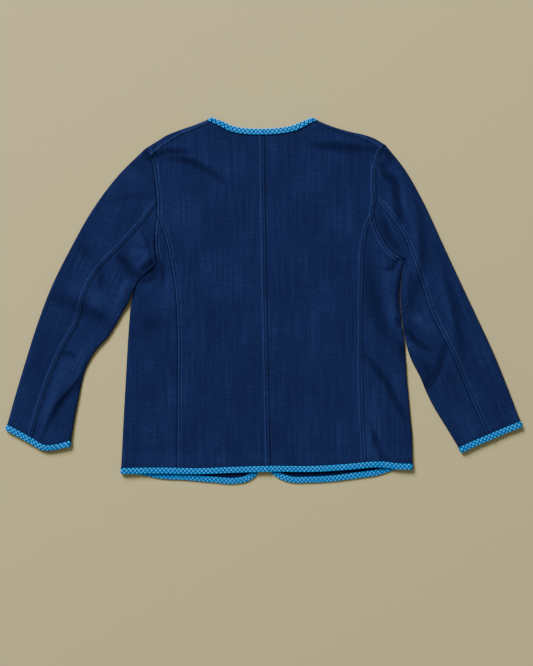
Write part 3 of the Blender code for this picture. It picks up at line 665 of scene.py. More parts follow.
@dataclass(frozen=True)
class Ground:
    """The height of every layer of laid cloth, as functions of the place."""

    seams: tuple = field(default_factory=felled_seams)
    waves: tuple = ((0.35, 310.0, 420.0, 0.6), (0.3, 190.0, -260.0, 2.1), (0.2, -140.0, 170.0, 4.0))
    ripple: float = 0.05
    ripple_seed: int = 7
    ripple_count: int = 26
    ripple_lengths: tuple = (22.0, 75.0)
    ripple_stretch: float = 0.6
    facing_sunk: Ridge = Ridge(0.0, 1.3, 0.35)
    # The facing's sunk stitch line is painted darker, as shade
    facing_dark: Ridge = Ridge(0.0, 1.2, 0.35)
    crease_reach: float = 2.8
    crease_end: float = 0.03
    deepest: float = 2.3
    # How strongly the creases show in the tone, as wear on ridges and as painted shade in troughs, and the
    # range that the fine ones keep to
    broad_tone: float = 0.1
    trough_tone: float = 0.32
    ridge_tone: float = 0.11
    tone_range: tuple = (-0.75, 0.2)

    def low(self, x: np.ndarray, y: np.ndarray) -> np.ndarray:
        """Mid height of the layer on the ground: it rises where a binding runs under it."""
        edge = near(lines_of("front_edge"), x, y, BOUND_FLAT, EDGE_REACH)
        cuff = near(lines_of("cuff"), x, y, CUFF_FLAT, CUFF_FLAT + EDGE_REACH)
        return LOW + LOW_RISE * np.maximum(edge, cuff)

    def creased(self, creases: Sequence[Crease], x: np.ndarray, y: np.ndarray) -> np.ndarray:
        """The sum of soft ridges: a bell across each line, fading out towards both its ends.

        Each is worked out only at places within a few of its widths. Troughs are held softly above
        the layer underneath by a hyperbolic tangent.
        """
        height = np.zeros(np.shape(x))
        for crease in creases:
            corners = np.array(crease.line)
            reach = self.crease_reach * crease.width * (1 + abs(crease.lean))
            low, high = corners.min(axis=0) - reach, corners.max(axis=0) + reach
            inside = (x > low[0]) & (x < high[0]) & (y > low[1]) & (y < high[1])
            if not inside.any():
                continue
            curve = Curve(crease.line)
            offset, run, beyond = curve.locate(x[inside], y[inside])
            share = np.clip(run / curve.length, self.crease_end, 1 - self.crease_end)
            fade = np.sqrt(np.sin(np.pi * share))
            width = crease.width * (1 + crease.lean * np.tanh(offset))
            height[inside] += crease.height * fade * np.exp(-(offset**2 + beyond**2) / width**2)
        return np.where(height < 0, self.deepest * np.tanh(height / self.deepest), height)

    def rippled(self, x: np.ndarray, y: np.ndarray) -> np.ndarray:
        """Small uneven waves of washed cloth: a seeded sum of sines in every direction."""
        draw = np.random.default_rng(self.ripple_seed)
        lengths = draw.uniform(*self.ripple_lengths, self.ripple_count)
        turns, phases = draw.uniform(0, 2 * np.pi, (2, self.ripple_count))
        along = x[..., None] * np.cos(turns) + self.ripple_stretch * y[..., None] * np.sin(turns)
        return self.ripple * np.sin(2 * np.pi * along / lengths + phases).sum(axis=-1)

    def top(self, x: np.ndarray, y: np.ndarray, lay: Lay = Lay.BODY) -> np.ndarray:
        """Mid height of the layer on top: fuller at folds, hem and cuffs, with creases and seams.

        Args:
            x: places' first coordinates.
            y: places' second coordinates.
            lay: whether the cloth is the body's or a sleeve's, which has rolls under the arm.

        Returns:
            Heights above the ground.
        """
        folds = lines_of("shoulder_fold", "side_fold", "outer_fold", "inner_fold")
        height = LAYER + FOLD_RISE * near(folds, x, y, FOLD_INSET, FOLD_REACH)
        height += HEM_RISE * near([HEM_LINE], x, y, BOUND_FLAT, EDGE_REACH)
        height += FRONT_EDGE_RISE * near(lines_of("front_edge"), x, y, FRONT_FLAT, FRONT_REACH)
        height += CUFF_RISE * near(lines_of("cuff"), x, y, BOUND_FLAT, EDGE_REACH)
        for half in HALVES.values():
            neck_x, neck_y = half.outline.shoulder_fold[-1]
            gap = np.hypot(x - neck_x, y - neck_y)
            height += NECK_POINT_RISE * step(gap, EDGE_REACH + BAND, BAND)
        calm = 1 - near([HEM_LINE, *lines_of("cuff", "shoulder_fold")], x, y, BAND, EDGE_REACH)
        for size, along_x, along_y, phase in self.waves:
            height += calm * size * np.sin(2 * np.pi * (x / along_x + y / along_y) + phase)
        creases = CREASES + FINE_CREASES + (BULGES if lay is Lay.SLEEVE else ())
        height += self.creased(creases, x, y) + calm * self.rippled(x, y)
        height -= self.facing_sunk.at(FACING_LINE.distance(x, y))
        return height + sum(seam.height(x, y) for seam in self.seams)

    def tone(self, x: np.ndarray, y: np.ndarray) -> np.ndarray:
        """How worn, above 0, or how dark, below 0, the top layer's colour is: ridges are worn lighter, the
        troughs of creases and the sunk lines of seams and facing are painted darker as shade, and each seam
        band has a dark line along its middle.
        """
        broad, fine = (self.creased(creases, x, y) for creases in (CREASES, FINE_CREASES))
        # Ridges are lighter as wear, and troughs are painted darker as shade
        fine = np.where(fine < 0, self.trough_tone, self.ridge_tone) * fine
        folded = self.broad_tone * broad + np.clip(fine, *self.tone_range)
        # Painted shade along the facing's sunk stitch line
        facing = self.facing_dark.at(FACING_LINE.distance(x, y))
        return folded - facing + sum(seam.tone(x, y) for seam in self.seams)

    def raised(self, plan: np.ndarray, lay: Lay) -> np.ndarray:
        """Plan points with their layer's height as a third coordinate."""
        x, y = plan[..., 0], plan[..., 1]
        height = self.low(x, y) if lay is Lay.LOW else self.top(x, y, lay)
        return np.concatenate([plan, height[..., None]], axis=-1)


GROUND = Ground()


@dataclass
class Stretch:
    """A grid of cloth: its points, where each lay on the flat cloth, and its tone."""

    points: np.ndarray
    flat: np.ndarray
    tone: np.ndarray

    @classmethod
    def laid(cls, plan: np.ndarray, lay: Lay) -> "Stretch":
        """A stretch that lies flat in the plan."""
        shade = np.zeros(plan.shape[:2]) if lay is Lay.LOW else GROUND.tone(plan[..., 0], plan[..., 1])
        return cls(GROUND.raised(plan, lay), plan, shade)

    @classmethod
    def round(cls, start: np.ndarray, edge: np.ndarray, low: np.ndarray,
              lean: np.ndarray | None = None) -> "Stretch":
        """The round of a fold: half an ellipse from the top layer, out to the edge and under.

        Where it leans over, its upper half also goes out by the lean times the sine of the doubled
        turn, as a roll of cloth that hangs over its neighbour.

        Args:
            start: points where the top layer ends.
            edge: plan points of the fold's outermost line.
            low: points where the layer underneath begins.
            lean: how far each row leans over, as a share of the round's reach.

        Returns:
            The rows of the round, flat at their length along it.
        """
        turn = np.linspace(0, np.pi, ROUND_CELLS + 1)[None, :, None]
        out = (edge - start[:, :2])[:, None]
        over = np.zeros(len(start)) if lean is None else lean
        reach = np.sin(turn) + over[:, None, None] * np.maximum(np.sin(2 * turn), 0)
        plan = start[:, None, :2] + out * reach
        middle = (start[:, 2] + low[:, 2])[:, None, None] / 2
        half = (start[:, 2] - low[:, 2])[:, None, None] / 2
        points = np.concatenate([plan, middle + half * np.cos(turn)], axis=-1)
        steps = np.linalg.norm(np.diff(points, axis=1), axis=2)
        run = np.concatenate([np.zeros((len(start), 1)), np.cumsum(steps, axis=1)], axis=1)
        flat = start[:, None, :2] + unit(out) * run[..., None]
        shade = np.repeat(GROUND.tone(start[:, 0], start[:, 1])[:, None], ROUND_CELLS + 1, axis=1)
        return cls(points, flat, shade * (1 - even(ROUND_CELLS)))

    @classmethod
    def under(cls, plan: np.ndarray, turned: "Stretch") -> "Stretch":
        """The layer underneath, flat as it was before the fold: outward from the round's end."""
        out = unit(turned.flat[:, -1] - turned.flat[:, 0])[:, None]
        reach = np.linalg.norm(plan - plan[:, :1], axis=-1, keepdims=True)
        flat = turned.flat[:, -1:] + out * reach
        return cls(GROUND.raised(plan, Lay.LOW), flat, np.zeros(plan.shape[:2]))

    def area(self) -> float:
        """The cloth's area in square metres: the sum of half the cross products of the diagonals."""
        p = self.points
        one, other = p[1:, 1:] - p[:-1, :-1], p[1:, :-1] - p[:-1, 1:]
        return float(np.linalg.norm(np.cross(one, other), axis=-1).sum() / 2 * MM * MM)


def unit(vectors: np.ndarray) -> np.ndarray:
    """The same directions at length 1."""
    return vectors / np.maximum(np.linalg.norm(vectors, axis=-1, keepdims=True), SHORTEST)


def quads(rows: int, columns: int, first: int = 0) -> np.ndarray:
    """Quads of a grid of points, as indices of their corners."""
    row, column = np.meshgrid(np.arange(rows - 1), np.arange(columns - 1), indexing="ij")
    here = (first + row * columns + column).ravel()
    return np.stack([here, here + columns, here + columns + 1, here + 1], axis=1)


def new_object(name: str, points: np.ndarray, faces: np.ndarray, flat: np.ndarray | None = None,
               tone: np.ndarray | None = None, caps: Sequence = ()) -> bpy.types.Object:
    """A mesh object at the origin.

    Args:
        name: the piece's name.
        points: corners in millimetres.
        faces: indices of each quad's corners.
        flat: each corner's place on the flat cloth, in millimetres, kept as a UV map in metres.
        tone: each corner's wear, and painted shade in creases and seams, kept as an attribute.
        caps: faces with other numbers of corners.

    Returns:
        The new object, linked to the scene.
    """
    mesh = bpy.data.meshes.new(name)
    mesh.from_pydata((points * MM).tolist(), [], [*faces.tolist(), *(cap.tolist() for cap in caps)])
    if flat is not None:
        corners = np.concatenate([faces.ravel(), *caps]).astype(int)
        layer = mesh.uv_layers.new(name=UV_NAME)
        layer.data.foreach_set("uv", (flat[corners] * MM).ravel().astype(np.float32))
    if tone is not None:
        mesh.attributes.new(TONE_NAME, "FLOAT", "POINT").data.foreach_set("value", tone.astype(np.float32))
    piece = bpy.data.objects.new(name, mesh)
    bpy.context.scene.collection.objects.link(piece)
    return piece


def merge(mesh: bpy.types.Mesh, distance: float) -> None:
    """Joins the doubled points of neighbouring grids and turns every face outwards."""
    work = bmesh.new()
    work.from_mesh(mesh)
    bmesh.ops.remove_doubles(work, verts=work.verts, dist=distance * MM)
    bmesh.ops.recalc_face_normals(work, faces=work.faces)
    work.to_mesh(mesh)
    work.free()


def read(items: bpy.types.bpy_prop_collection, name: str, size: int, kind: type = float) -> np.ndarray:
    """One property of every item, as an array with a row for each."""
    values = np.empty(len(items) * size, dtype=kind)
    items.foreach_get(name, values)
    return values.reshape(-1, size) if size > 1 else values


def draw_in_rim(mesh: bpy.types.Mesh, distance: float) -> None:
    """Moves every open edge in along the cloth, square to both its edges, to leave room at a seam."""
    points = read(mesh.vertices, "co", 3)
    pairs = read(mesh.edges, "vertices", 2, int)
    corner, edge = (read(mesh.loops, name, 1, int) for name in ("vertex_index", "edge_index"))
    face = np.repeat(np.arange(len(mesh.polygons)), read(mesh.polygons, "loop_total", 1, int))
    open_loop = np.bincount(edge, minlength=len(pairs))[edge] == 1
    start, edge, face = corner[open_loop], edge[open_loop], face[open_loop]
    end = pairs[edge].sum(axis=1) - start
    normal = read(mesh.polygons, "normal", 3)[face]
    inward = unit(np.cross(normal, points[end] - points[start]))
    move = np.zeros_like(points)
    np.add.at(move, start, inward)
    np.add.at(move, end, inward)
    size = np.maximum((move**2).sum(axis=1, keepdims=True), 1.0)
    mesh.vertices.foreach_set("co", (points + 2 * distance * MM * move / size).ravel())
    mesh.update()


@dataclass
class CutPiece:
    """One cut piece of cloth: its node, its stretches, and its grain in degrees from +Y towards +X."""

    node: str
    stretches: Sequence[Stretch]
    grain: float = 0.0

    def cut(self) -> tuple[float, float, float]:
        """The width and length across and along the grain, and the area, of the flat cut, in metres."""
        flat = np.vstack([self.on_grain(part.flat.reshape(-1, 2)) for part in self.stretches])
        width, length = np.ptp(flat, axis=0) * MM
        area = sum(part.area() for part in self.stretches)
        return float(width), float(length), min(area, width * length)

    def on_grain(self, flat: np.ndarray) -> np.ndarray:
        """Flat places measured across and along the grain."""
        turn = math.radians(self.grain)
        across, along = (math.cos(turn), -math.sin(turn)), (math.sin(turn), math.cos(turn))
        return np.stack([flat @ np.array(across), flat @ np.array(along)], axis=-1)

    def build(self, material: bpy.types.Material) -> bpy.types.Object:
        """Joins the stretches, leaves room at the seams and gives the cloth its thickness."""
        sizes = [part.points.shape[0] * part.points.shape[1] for part in self.stretches]
        firsts = np.append(0, np.cumsum(sizes))
        faces = np.vstack([quads(*part.points.shape[:2], first=first)
                           for part, first in zip(self.stretches, firsts)])
        points = np.vstack([part.points.reshape(-1, 3) for part in self.stretches])
        flat = self.on_grain(np.vstack([part.flat.reshape(-1, 2) for part in self.stretches]))
        tone = np.concatenate([part.tone.ravel() for part in self.stretches])
        piece = new_object(f"{self.node}_cloth", points, faces, flat, tone)
        merge(piece.data, CLOTH_JOIN)
        draw_in_rim(piece.data, SEAM_GAP / 2)
        piece.data.shade_smooth()
        piece.data.materials.append(material)
        wall = piece.modifiers.new("Cloth thickness", "SOLIDIFY")
        wall.thickness = CLOTH * MM
        wall.offset = 0
        return piece


def pinned(line: np.ndarray, point: np.ndarray, cells: int) -> np.ndarray:
    """The line with its first point moved to a place, and the move fading out over the next cells."""
    fade = np.clip(1 - np.arange(len(line)) / cells, 0, 1)[:, None]
    return line + fade * (point - line[0])


def end_pinned(line: np.ndarray, point: np.ndarray, cells: int) -> np.ndarray:
    """The line with its last point moved to a place, and the move fading out over the cells before."""
    return pinned(line[::-1], point, cells)[::-1]


@dataclass
class Wrap:
    """A panel that runs from a seam to a fold and wraps round it to a hidden seam underneath.

    Above the underarm the panel is bounded by the armhole; below it, by the fold.
    """

    half: Half
    fold: str
    seam: np.ndarray
    arm: np.ndarray
    cells: int
    inward: int
    width: float
    across: np.ndarray
    lay: Lay
    end_line: Callable[[np.ndarray, np.ndarray, np.ndarray], np.ndarray]
    rolls: tuple = ()
    # The shares of the fold over which a roll rises and falls
    roll_rise: float = 0.03
    roll_fall: float = 0.06
    low_cells: int = 8
    # The fold and its round start at the armhole's end: over how many cells they come to it, and how
    # far before it the round starts, as a share of the fold's inset
    pin_cells: int = 4
    corner_share: float = 0.7

    def lean(self) -> np.ndarray:
        """How far each row of the round leans over: a soft plateau for each roll, by share."""
        curve = self.half.line[self.fold]
        shares = self.half.to_edge(curve, (self.cells, 1.0))
        leans = [
            amount * step(shares, start, start + self.roll_rise) * step(shares, end, end - self.roll_fall)
            for start, end, amount in self.rolls
        ]
        return sum(leans, np.zeros(len(shares)))

    def lay_out(self) -> tuple[Stretch, Stretch, Stretch, np.ndarray]:
        """The stretch on top, the round, the stretch underneath, and the hidden seam's line."""
        edge, start = self.half.fold(self.fold, self.cells, self.inward)
        hole = self.half.line["armhole"]
        outmost, begun = (hole.at(hole.back(gap)) for gap in (CLOTH / 2, self.corner_share * FOLD_INSET))
        edge, start = pinned(edge, outmost, self.pin_cells), pinned(start, begun, self.pin_cells)
        hidden = self.half.wrap_line(self.fold, self.cells, self.inward, self.width)
        outer = np.vstack([self.arm[:-1], start])
        apex = straight(self.seam[:1], outer[:1], self.across)[0]
        last = -1 - BAND_CELLS
        bottom = self.end_line(self.seam[last], outer[last], self.across)
        main = patch(apex, bottom, self.seam[:-BAND_CELLS], outer[:-BAND_CELLS], self.across)
        band = [self.end_line(self.seam[row], outer[row], self.across) for row in range(-BAND_CELLS, 0)]
        top = Stretch.laid(np.concatenate([main, band]), self.lay)
        turned = Stretch.round(top.points[len(self.arm) - 1 :, -1], edge, GROUND.raised(start, Lay.LOW),
                               self.lean())
        low = Stretch.under(straight(start, hidden, even(self.low_cells)), turned)
        return top, turned, low, hidden


@dataclass
class Body:
    """The body's cut pieces on one side: half the back, the side panel and the front."""

    side: Side
    # How much of the back's columns end at the shoulder, and the widths that columns are counted by
    shoulder_share: float = 0.58
    shoulder_width: float = 140.0
    neck_width: float = 95.0
    side_width: float = 100.0
    strip_width: float = 15.0
    strip_pitch: float = 2.0
    # Shares of the rows underneath, and of the front edge where they end; then the same of the
    # columns and the front hem. Both meet on the rounded corner: at a share of the hem's half width
    # from the middle, and at a level.
    edge_knots: tuple = ((0, 0.06, 0.26, 0.3, 0.42, 0.84, 1.0), (0, 0.06, 0.17, 0.22, 0.42, 0.955, 1.0))
    hem_knots: tuple = ((0, 0.3, 0.6, 1.0), (0, 0.045, 0.3, 1.0))
    corner_share: float = 0.06
    corner_level: float = -337.0
    pin_cells: int = 8

    def __post_init__(self) -> None:
        """Looks up the side's seams."""
        self.half = HALVES[self.side]

    def hem(self, start: np.ndarray, end: np.ndarray, share: np.ndarray) -> np.ndarray:
        """A line beside the hem from one point to another."""
        first, last = HEM_LINE.nearest(start), HEM_LINE.nearest(end)
        return fitted(HEM_LINE.at(first + (last - first) * share), start, end, share)

    def centre_seam(self) -> np.ndarray:
        """The centre-back seam, with as many rows as the panels' other sides."""
        half = HALVES[Side.LEFT]
        outer = np.vstack([half.arm[NOTCH_CELLS : half.princess_index], half.princess[:-BAND_CELLS]])
        run = run_along(outer)
        start, end = BOUND / CENTRE_LINE.length, CENTRE_LINE.back(BOUND)
        band = np.linspace(end, CENTRE_LINE.back(LIP), BAND_CELLS + 1)[1:]
        return CENTRE_LINE.at(np.append(start + (end - start) * run / run[-1], band))

    def back(self) -> tuple[Stretch, Stretch]:
        """Half the back from the armhole and princess seam to the centre, and its neck band."""
        half = self.half
        outer = np.vstack([half.arm[NOTCH_CELLS : half.princess_index], half.princess])
        first = spread(self.shoulder_width, PITCH, start=True)
        second = spread(self.neck_width, PITCH, end=True)
        part = self.shoulder_share
        share = np.concatenate([first * part, part + second[1:] * (1 - part)])
        seam = half.line["shoulder_seam"]
        shoulder = pinned(seam.at(first * seam.back(BOUND)), outer[0], self.pin_cells)
        tip = seam.at(seam.back(LIP))
        middle = NECK_LINE.nearest(CENTRE_BACK[0])
        start = 0.0 if self.side is Side.LEFT else 1.0
        shares = start + (middle - start) * second
        edge, inner = (NECK_LINE.beside(shares, -distance) for distance in (LIP, BOUND))
        edge, inner = pinned(edge, tip, self.pin_cells), pinned(inner, shoulder[-1], self.pin_cells)
        centre = self.centre_seam()
        centre[0] = inner[-1]
        rows = [self.hem(outer[row], centre[row], share) for row in range(-1 - BAND_CELLS, 0)]
        top = np.vstack([shoulder, inner[1:]])
        main = patch(top, rows[0], outer[:-BAND_CELLS], centre[:-BAND_CELLS], share)
        body = Stretch.laid(np.concatenate([main, rows[1:]]), Lay.BODY)
        return body, Stretch.laid(straight(main[0, len(first) - 1 :], edge, even(BAND_CELLS)), Lay.BODY)

    def side_panel(self) -> tuple[Stretch, Stretch, Stretch, np.ndarray]:
        """The side panel, which wraps round the side fold."""
        half = self.half
        across = spread(self.side_width, PITCH, start=True, end=True)
        return Wrap(half, "side_fold", half.princess, half.apex_arm(half.princess_index), SIDE_CELLS,
                    half.hand, SIDE_WRAP, across, Lay.BODY, self.hem).lay_out()

    def front(self, hidden: np.ndarray) -> tuple[Stretch, Stretch, Stretch, Stretch]:
        """The front: its strip on top, the shoulder fold, the layer underneath and its bound rim.

        Args:
            hidden: the side seam's line, which the side panel gives.

        Returns:
            The four stretches in that order.
        """
        half, pin = self.half, self.pin_cells
        fold, seam = half.line["shoulder_fold"], half.line["shoulder_seam"]
        shares = half.to_edge(fold, (SHOULDER_CELLS, 1.0))
        edge, start = (fold.beside(shares, -half.hand * inset) for inset in (CLOTH / 2, FOLD_INSET))
        edge = pinned(edge, half.line["armhole"].at(half.fold_start * CLOTH / 2 / FOLD_INSET), pin)
        start = pinned(start, half.arm[0], pin)
        seam_line = pinned(seam.at(half.to_edge(seam, (SHOULDER_CELLS, 1.0))), half.arm[NOTCH_CELLS], pin)
        neck_end = fold.at(shares[-1])
        neck_way = unit(seam_line[-1] - neck_end)
        edge = end_pinned(edge, neck_end + neck_way * CLOTH / 2, BAND_CELLS)
        start = end_pinned(start, neck_end + neck_way * FOLD_INSET, BAND_CELLS)
        across = spread(self.strip_width, self.strip_pitch, start=True)
        strip = Stretch.laid(straight(seam_line, start, across), Lay.BODY)
        turned = Stretch.round(strip.points[:, -1], edge, GROUND.raised(start, Lay.LOW))

        bound = half.line["front_edge"]
        corner = bound.nearest((half.outline.front_edge[-1][0] * self.corner_share, self.corner_level))
        down = corner * np.interp(even(LOW_ARMHOLE_CELLS + SIDE_CELLS), *self.edge_knots)
        end = bound.nearest(hidden[-1])
        along = corner + (end - corner) * np.interp(even(SHOULDER_CELLS), *self.hem_knots)
        lines = []
        for far, row in ((BOUND, -1 - BAND_CELLS), (LIP, -1)):
            rim_down = pinned(bound.beside(down, -half.hand * far), start[row], pin)
            rim_hem = end_pinned(bound.beside(along, -half.hand * far), hidden[row], BAND_CELLS)
            lines.append((rim_down, rim_hem))
        (inner_down, inner_hem), (edge_down, edge_hem) = lines
        outer = np.vstack([half.low_arm[:-1], hidden[:-BAND_CELLS]])
        main = patch(start[:-BAND_CELLS], inner_hem[::-1], outer, inner_down, even(SHOULDER_CELLS))
        inner, rim = np.vstack([inner_down, inner_hem[1:]]), np.vstack([edge_down, edge_hem[1:]])
        low = Stretch.laid(main, Lay.LOW)
        return strip, turned, low, Stretch.laid(straight(inner, rim, even(BAND_CELLS)), Lay.LOW)


@dataclass
class Sleeve:
    """One sleeve's two cut pieces, which meet at the elbow seam on top and at a hidden one below."""

    side: Side
    # The widths that columns are counted by
    top_width: float = 130.0
    under_width: float = 80.0
    low_cells: int = 20
    pin_cells: int = 8
    # Where the inner fold leans over the body: from and to, as shares of the fold, and how far
    rolls: dict = field(default_factory=lambda: {
        Side.LEFT: ((0.0, 0.17, 1.5), (0.13, 0.3, 0.8)),
        Side.RIGHT: ((0.0, 0.5, 0.55),),
    })

    def __post_init__(self) -> None:
        """Looks up the side's seams."""
        self.half = HALVES[self.side]

    def cuff(self, start: np.ndarray, end: np.ndarray, share: np.ndarray) -> np.ndarray:
        """A line beside the cuff from one point to another."""
        line = self.half.line["cuff"]
        first, last = line.nearest(start), line.nearest(end)
        return fitted(line.at(first + (last - first) * share), start, end, share)

    def under_panel(self) -> tuple[Stretch, Stretch, Stretch, np.ndarray]:
        """The inner panel, from the elbow seam round the inner fold."""
        half = self.half
        across = spread(self.under_width, PITCH, start=True)
        return Wrap(half, "inner_fold", half.elbow, half.apex_arm(half.elbow_index), SLEEVE_CELLS,
                    -half.hand, SLEEVE_WRAP, across, Lay.SLEEVE, self.cuff, self.rolls[self.side]).lay_out()

    def top_panel(self, hidden: np.ndarray) -> tuple[Stretch, Stretch, Stretch]:
        """The outer panel: from the elbow seam over the outer fold to the hidden seam underneath.

        Args:
            hidden: the hidden seam's line, which the inner panel gives.

        Returns:
            The stretch on top, the round and the stretch underneath.
        """
        half, arm = self.half, self.half.line["armhole"]
        rows = NOTCH_CELLS + UNDERARM_CELLS + SLEEVE_CELLS
        edge, start = half.fold("outer_fold", rows, half.hand)
        start = pinned(start, half.arm[0], self.pin_cells)
        edge = pinned(edge, arm.at(half.fold_start * CLOTH / 2 / FOLD_INSET), self.pin_cells)
        share = spread(self.top_width, PITCH, start=True)
        elbow_start = half.outline.elbow_start
        crown = arm.at(elbow_start + (half.fold_start - elbow_start) * share)
        bands = [self.cuff(half.elbow[row], start[row], share) for row in range(-1 - BAND_CELLS, 0)]
        main = patch(crown, bands[0], half.elbow[:-BAND_CELLS], start[:-BAND_CELLS], share)
        top = Stretch.laid(np.concatenate([main, bands[1:]]), Lay.SLEEVE)
        turned = Stretch.round(top.points[:, -1], edge, GROUND.raised(start, Lay.LOW))
        inner = np.vstack([half.low_arm[:-1], hidden])
        inner = pinned(inner, inner[0] + WRAP_START * unit(inner[1] - inner[0]), self.pin_cells)
        low = Stretch.under(straight(start, inner, even(self.low_cells)), turned)
        return top, turned, low


def joined(*runs: np.ndarray) -> np.ndarray:
    """Runs of points end to end, with the point that two runs share kept once."""
    return np.vstack([runs[0], *(run[1:] for run in runs[1:])])


@dataclass
class Tape:
    """A bias tape folded over a cloth edge, made from the points of the cloth that it covers.

    Its section is a flat closed strip: a crowned upper leg, half an ellipse round the edge and a
    lower leg, with a dip under the stitching, and the same path back along the inner faces.
    """

    node: str
    edge: np.ndarray
    inner: np.ndarray
    closed: bool = False
    pitch: float = 1.6
    leg_cells: int = 9
    round_cells: int = 8
    crown: float = 0.5
    stitch_share: float = 0.84
    stitch_dip: float = 0.35
    dip_share: float = 0.09
    pucker: float = 0.13
    pucker_lengths: tuple = (6.6, 10.3)
    second_pucker: float = 0.7
    softened: int = 5
    # How upright the normal has to be for a leg's whole shape, and for its stitches to be made
    shaped: float = 1 / 1.4
    stitched: float = 0.7

    def __post_init__(self) -> None:
        """Spaces the rows evenly along the edge and works out the way in and the normal at each."""
        edge, inner = self.edge, self.inner
        if self.closed:
            edge, inner = (np.vstack([line, line[:1]]) for line in (edge, inner))
        run = run_along(edge)
        trim = 0 if self.closed else SEAM_GAP / 2
        count = math.ceil(run[-1] / self.pitch)
        self.run = np.linspace(trim, run[-1] - trim, count + 1)
        self.rows_edge, self.rows_inner = (between(self.run, run, line) for line in (edge, inner))
        along = self.soft(np.gradient(self.rows_edge, axis=0))
        across = self.soft(self.rows_inner - self.rows_edge)
        self.reach = np.linalg.norm(across, axis=1)[:, None]
        self.way = across / self.reach
        self.along = unit(along)
        self.normal = unit(np.cross(across, along))
        repeats = max(1, round(self.run[-1] / LATTICE_REPEAT))
        self.chart = self.run / self.run[-1] * repeats * LATTICE_REPEAT

    def soft(self, vectors: np.ndarray) -> np.ndarray:
        """Running means over a few rows, joined up at the ends of a closed tape."""
        half = self.softened // 2
        if self.closed:
            vectors = vectors.copy()
            vectors[0] = vectors[-1] = (vectors[0] + vectors[-1]) / 2
            padded = np.vstack([vectors[-1 - half : -1], vectors, vectors[1 : 1 + half]])
        else:
            padded = np.pad(vectors, ((half, half), (0, 0)), mode="edge")
        kernel = np.ones(self.softened) / self.softened
        return np.stack([np.convolve(padded[:, k], kernel, mode="valid") for k in range(3)], axis=-1)

    def lift(self, share: np.ndarray, hand: int) -> np.ndarray:
        """How far a leg that faces up stands proud: a crown, the stitches' dip and small puckers."""
        whole = self.run[-1] - self.run[0]
        turns = [round(whole / length) for length in self.pucker_lengths]
        first, second = (np.sin(2 * np.pi * turn * (self.run - self.run[0]) / whole) for turn in turns)
        wave = self.pucker * (first + self.second_pucker * second)[:, None]
        dip = self.stitch_dip * bell(share - self.stitch_share, self.dip_share)
        shape = self.crown * 4 * share * (1 - share) - dip + wave * np.sin(np.pi * share)
        return shape * smooth(hand * self.normal[:, 2:] / self.shaped)

    def sections(self) -> tuple[np.ndarray, np.ndarray]:
        """Rows of section points, and how far each is across the tape from its nearer border."""
        far, close = CLOTH / 2 + LIP, CLOTH / 2 + TAPE_CLEAR
        leg = even(self.leg_cells)[None, ::-1]
        turn = (np.pi * even(self.round_cells)[1:-1])[None]
        ones = np.ones((len(self.run), 1))
        legs = LEG_SHARE * self.reach
        upper = (leg * legs, far + self.lift(leg, 1))
        around = (ones * -LIP * np.sin(turn), ones * far * np.cos(turn))
        lower = (leg[:, ::-1] * legs, -far - self.lift(leg[:, ::-1], -1))
        inside_in = np.array([[1.0, 0.5, 0.0]])
        inside = (inside_in * legs - (1 - inside_in) * TAPE_CLEAR, close * np.ones_like(inside_in) * ones)
        along = [upper[0], around[0], lower[0], inside[0], inside[0][:, ::-1], upper[0][:, :1]]
        up = [upper[1], around[1], lower[1], -inside[1], inside[1], upper[1][:, :1]]
        inward, height = np.hstack(along)[..., None], np.hstack(up)[..., None]
        points = self.rows_edge[:, None] + self.way[:, None] * inward + self.normal[:, None] * height
        return points, legs - np.hstack(along)

    def build(self, material: bpy.types.Material) -> bpy.types.Object:
        """Makes the tape's mesh, with its length and width as its UV map."""
        points, across = self.sections()
        rows, columns = points.shape[:2]
        chart = np.stack([np.repeat(self.chart[:, None], columns, axis=1), across], axis=-1)
        rim = np.arange(columns - 1)
        caps = [] if self.closed else [rim, (rows - 1) * columns + rim]
        piece = new_object(f"{self.node}_tape", points.reshape(-1, 3), quads(rows, columns),
                           chart.reshape(-1, 2), caps=caps)
        merge(piece.data, TAPE_JOIN)
        piece.data.shade_smooth()
        piece.data.materials.append(material)
        return piece

    def stitch_places(self, every: int = 2) -> "Stitches":
        """Stitches near the inner border of the leg that faces up."""
        hand = np.sign(self.normal[:, 2:])
        share = np.full((1, 1), self.stitch_share)
        lift = np.where(hand > 0, self.lift(share, 1), self.lift(share, -1))
        inward = self.stitch_share * LEG_SHARE * self.reach
        points = self.rows_edge + self.way * inward + self.normal * hand * (CLOTH / 2 + LIP + lift)
        shown = (np.abs(self.normal[:, 2]) > self.stitched) & (np.arange(len(self.run)) % every == 0)
        return Stitches(points[shown], self.along[shown], (self.normal * hand)[shown])


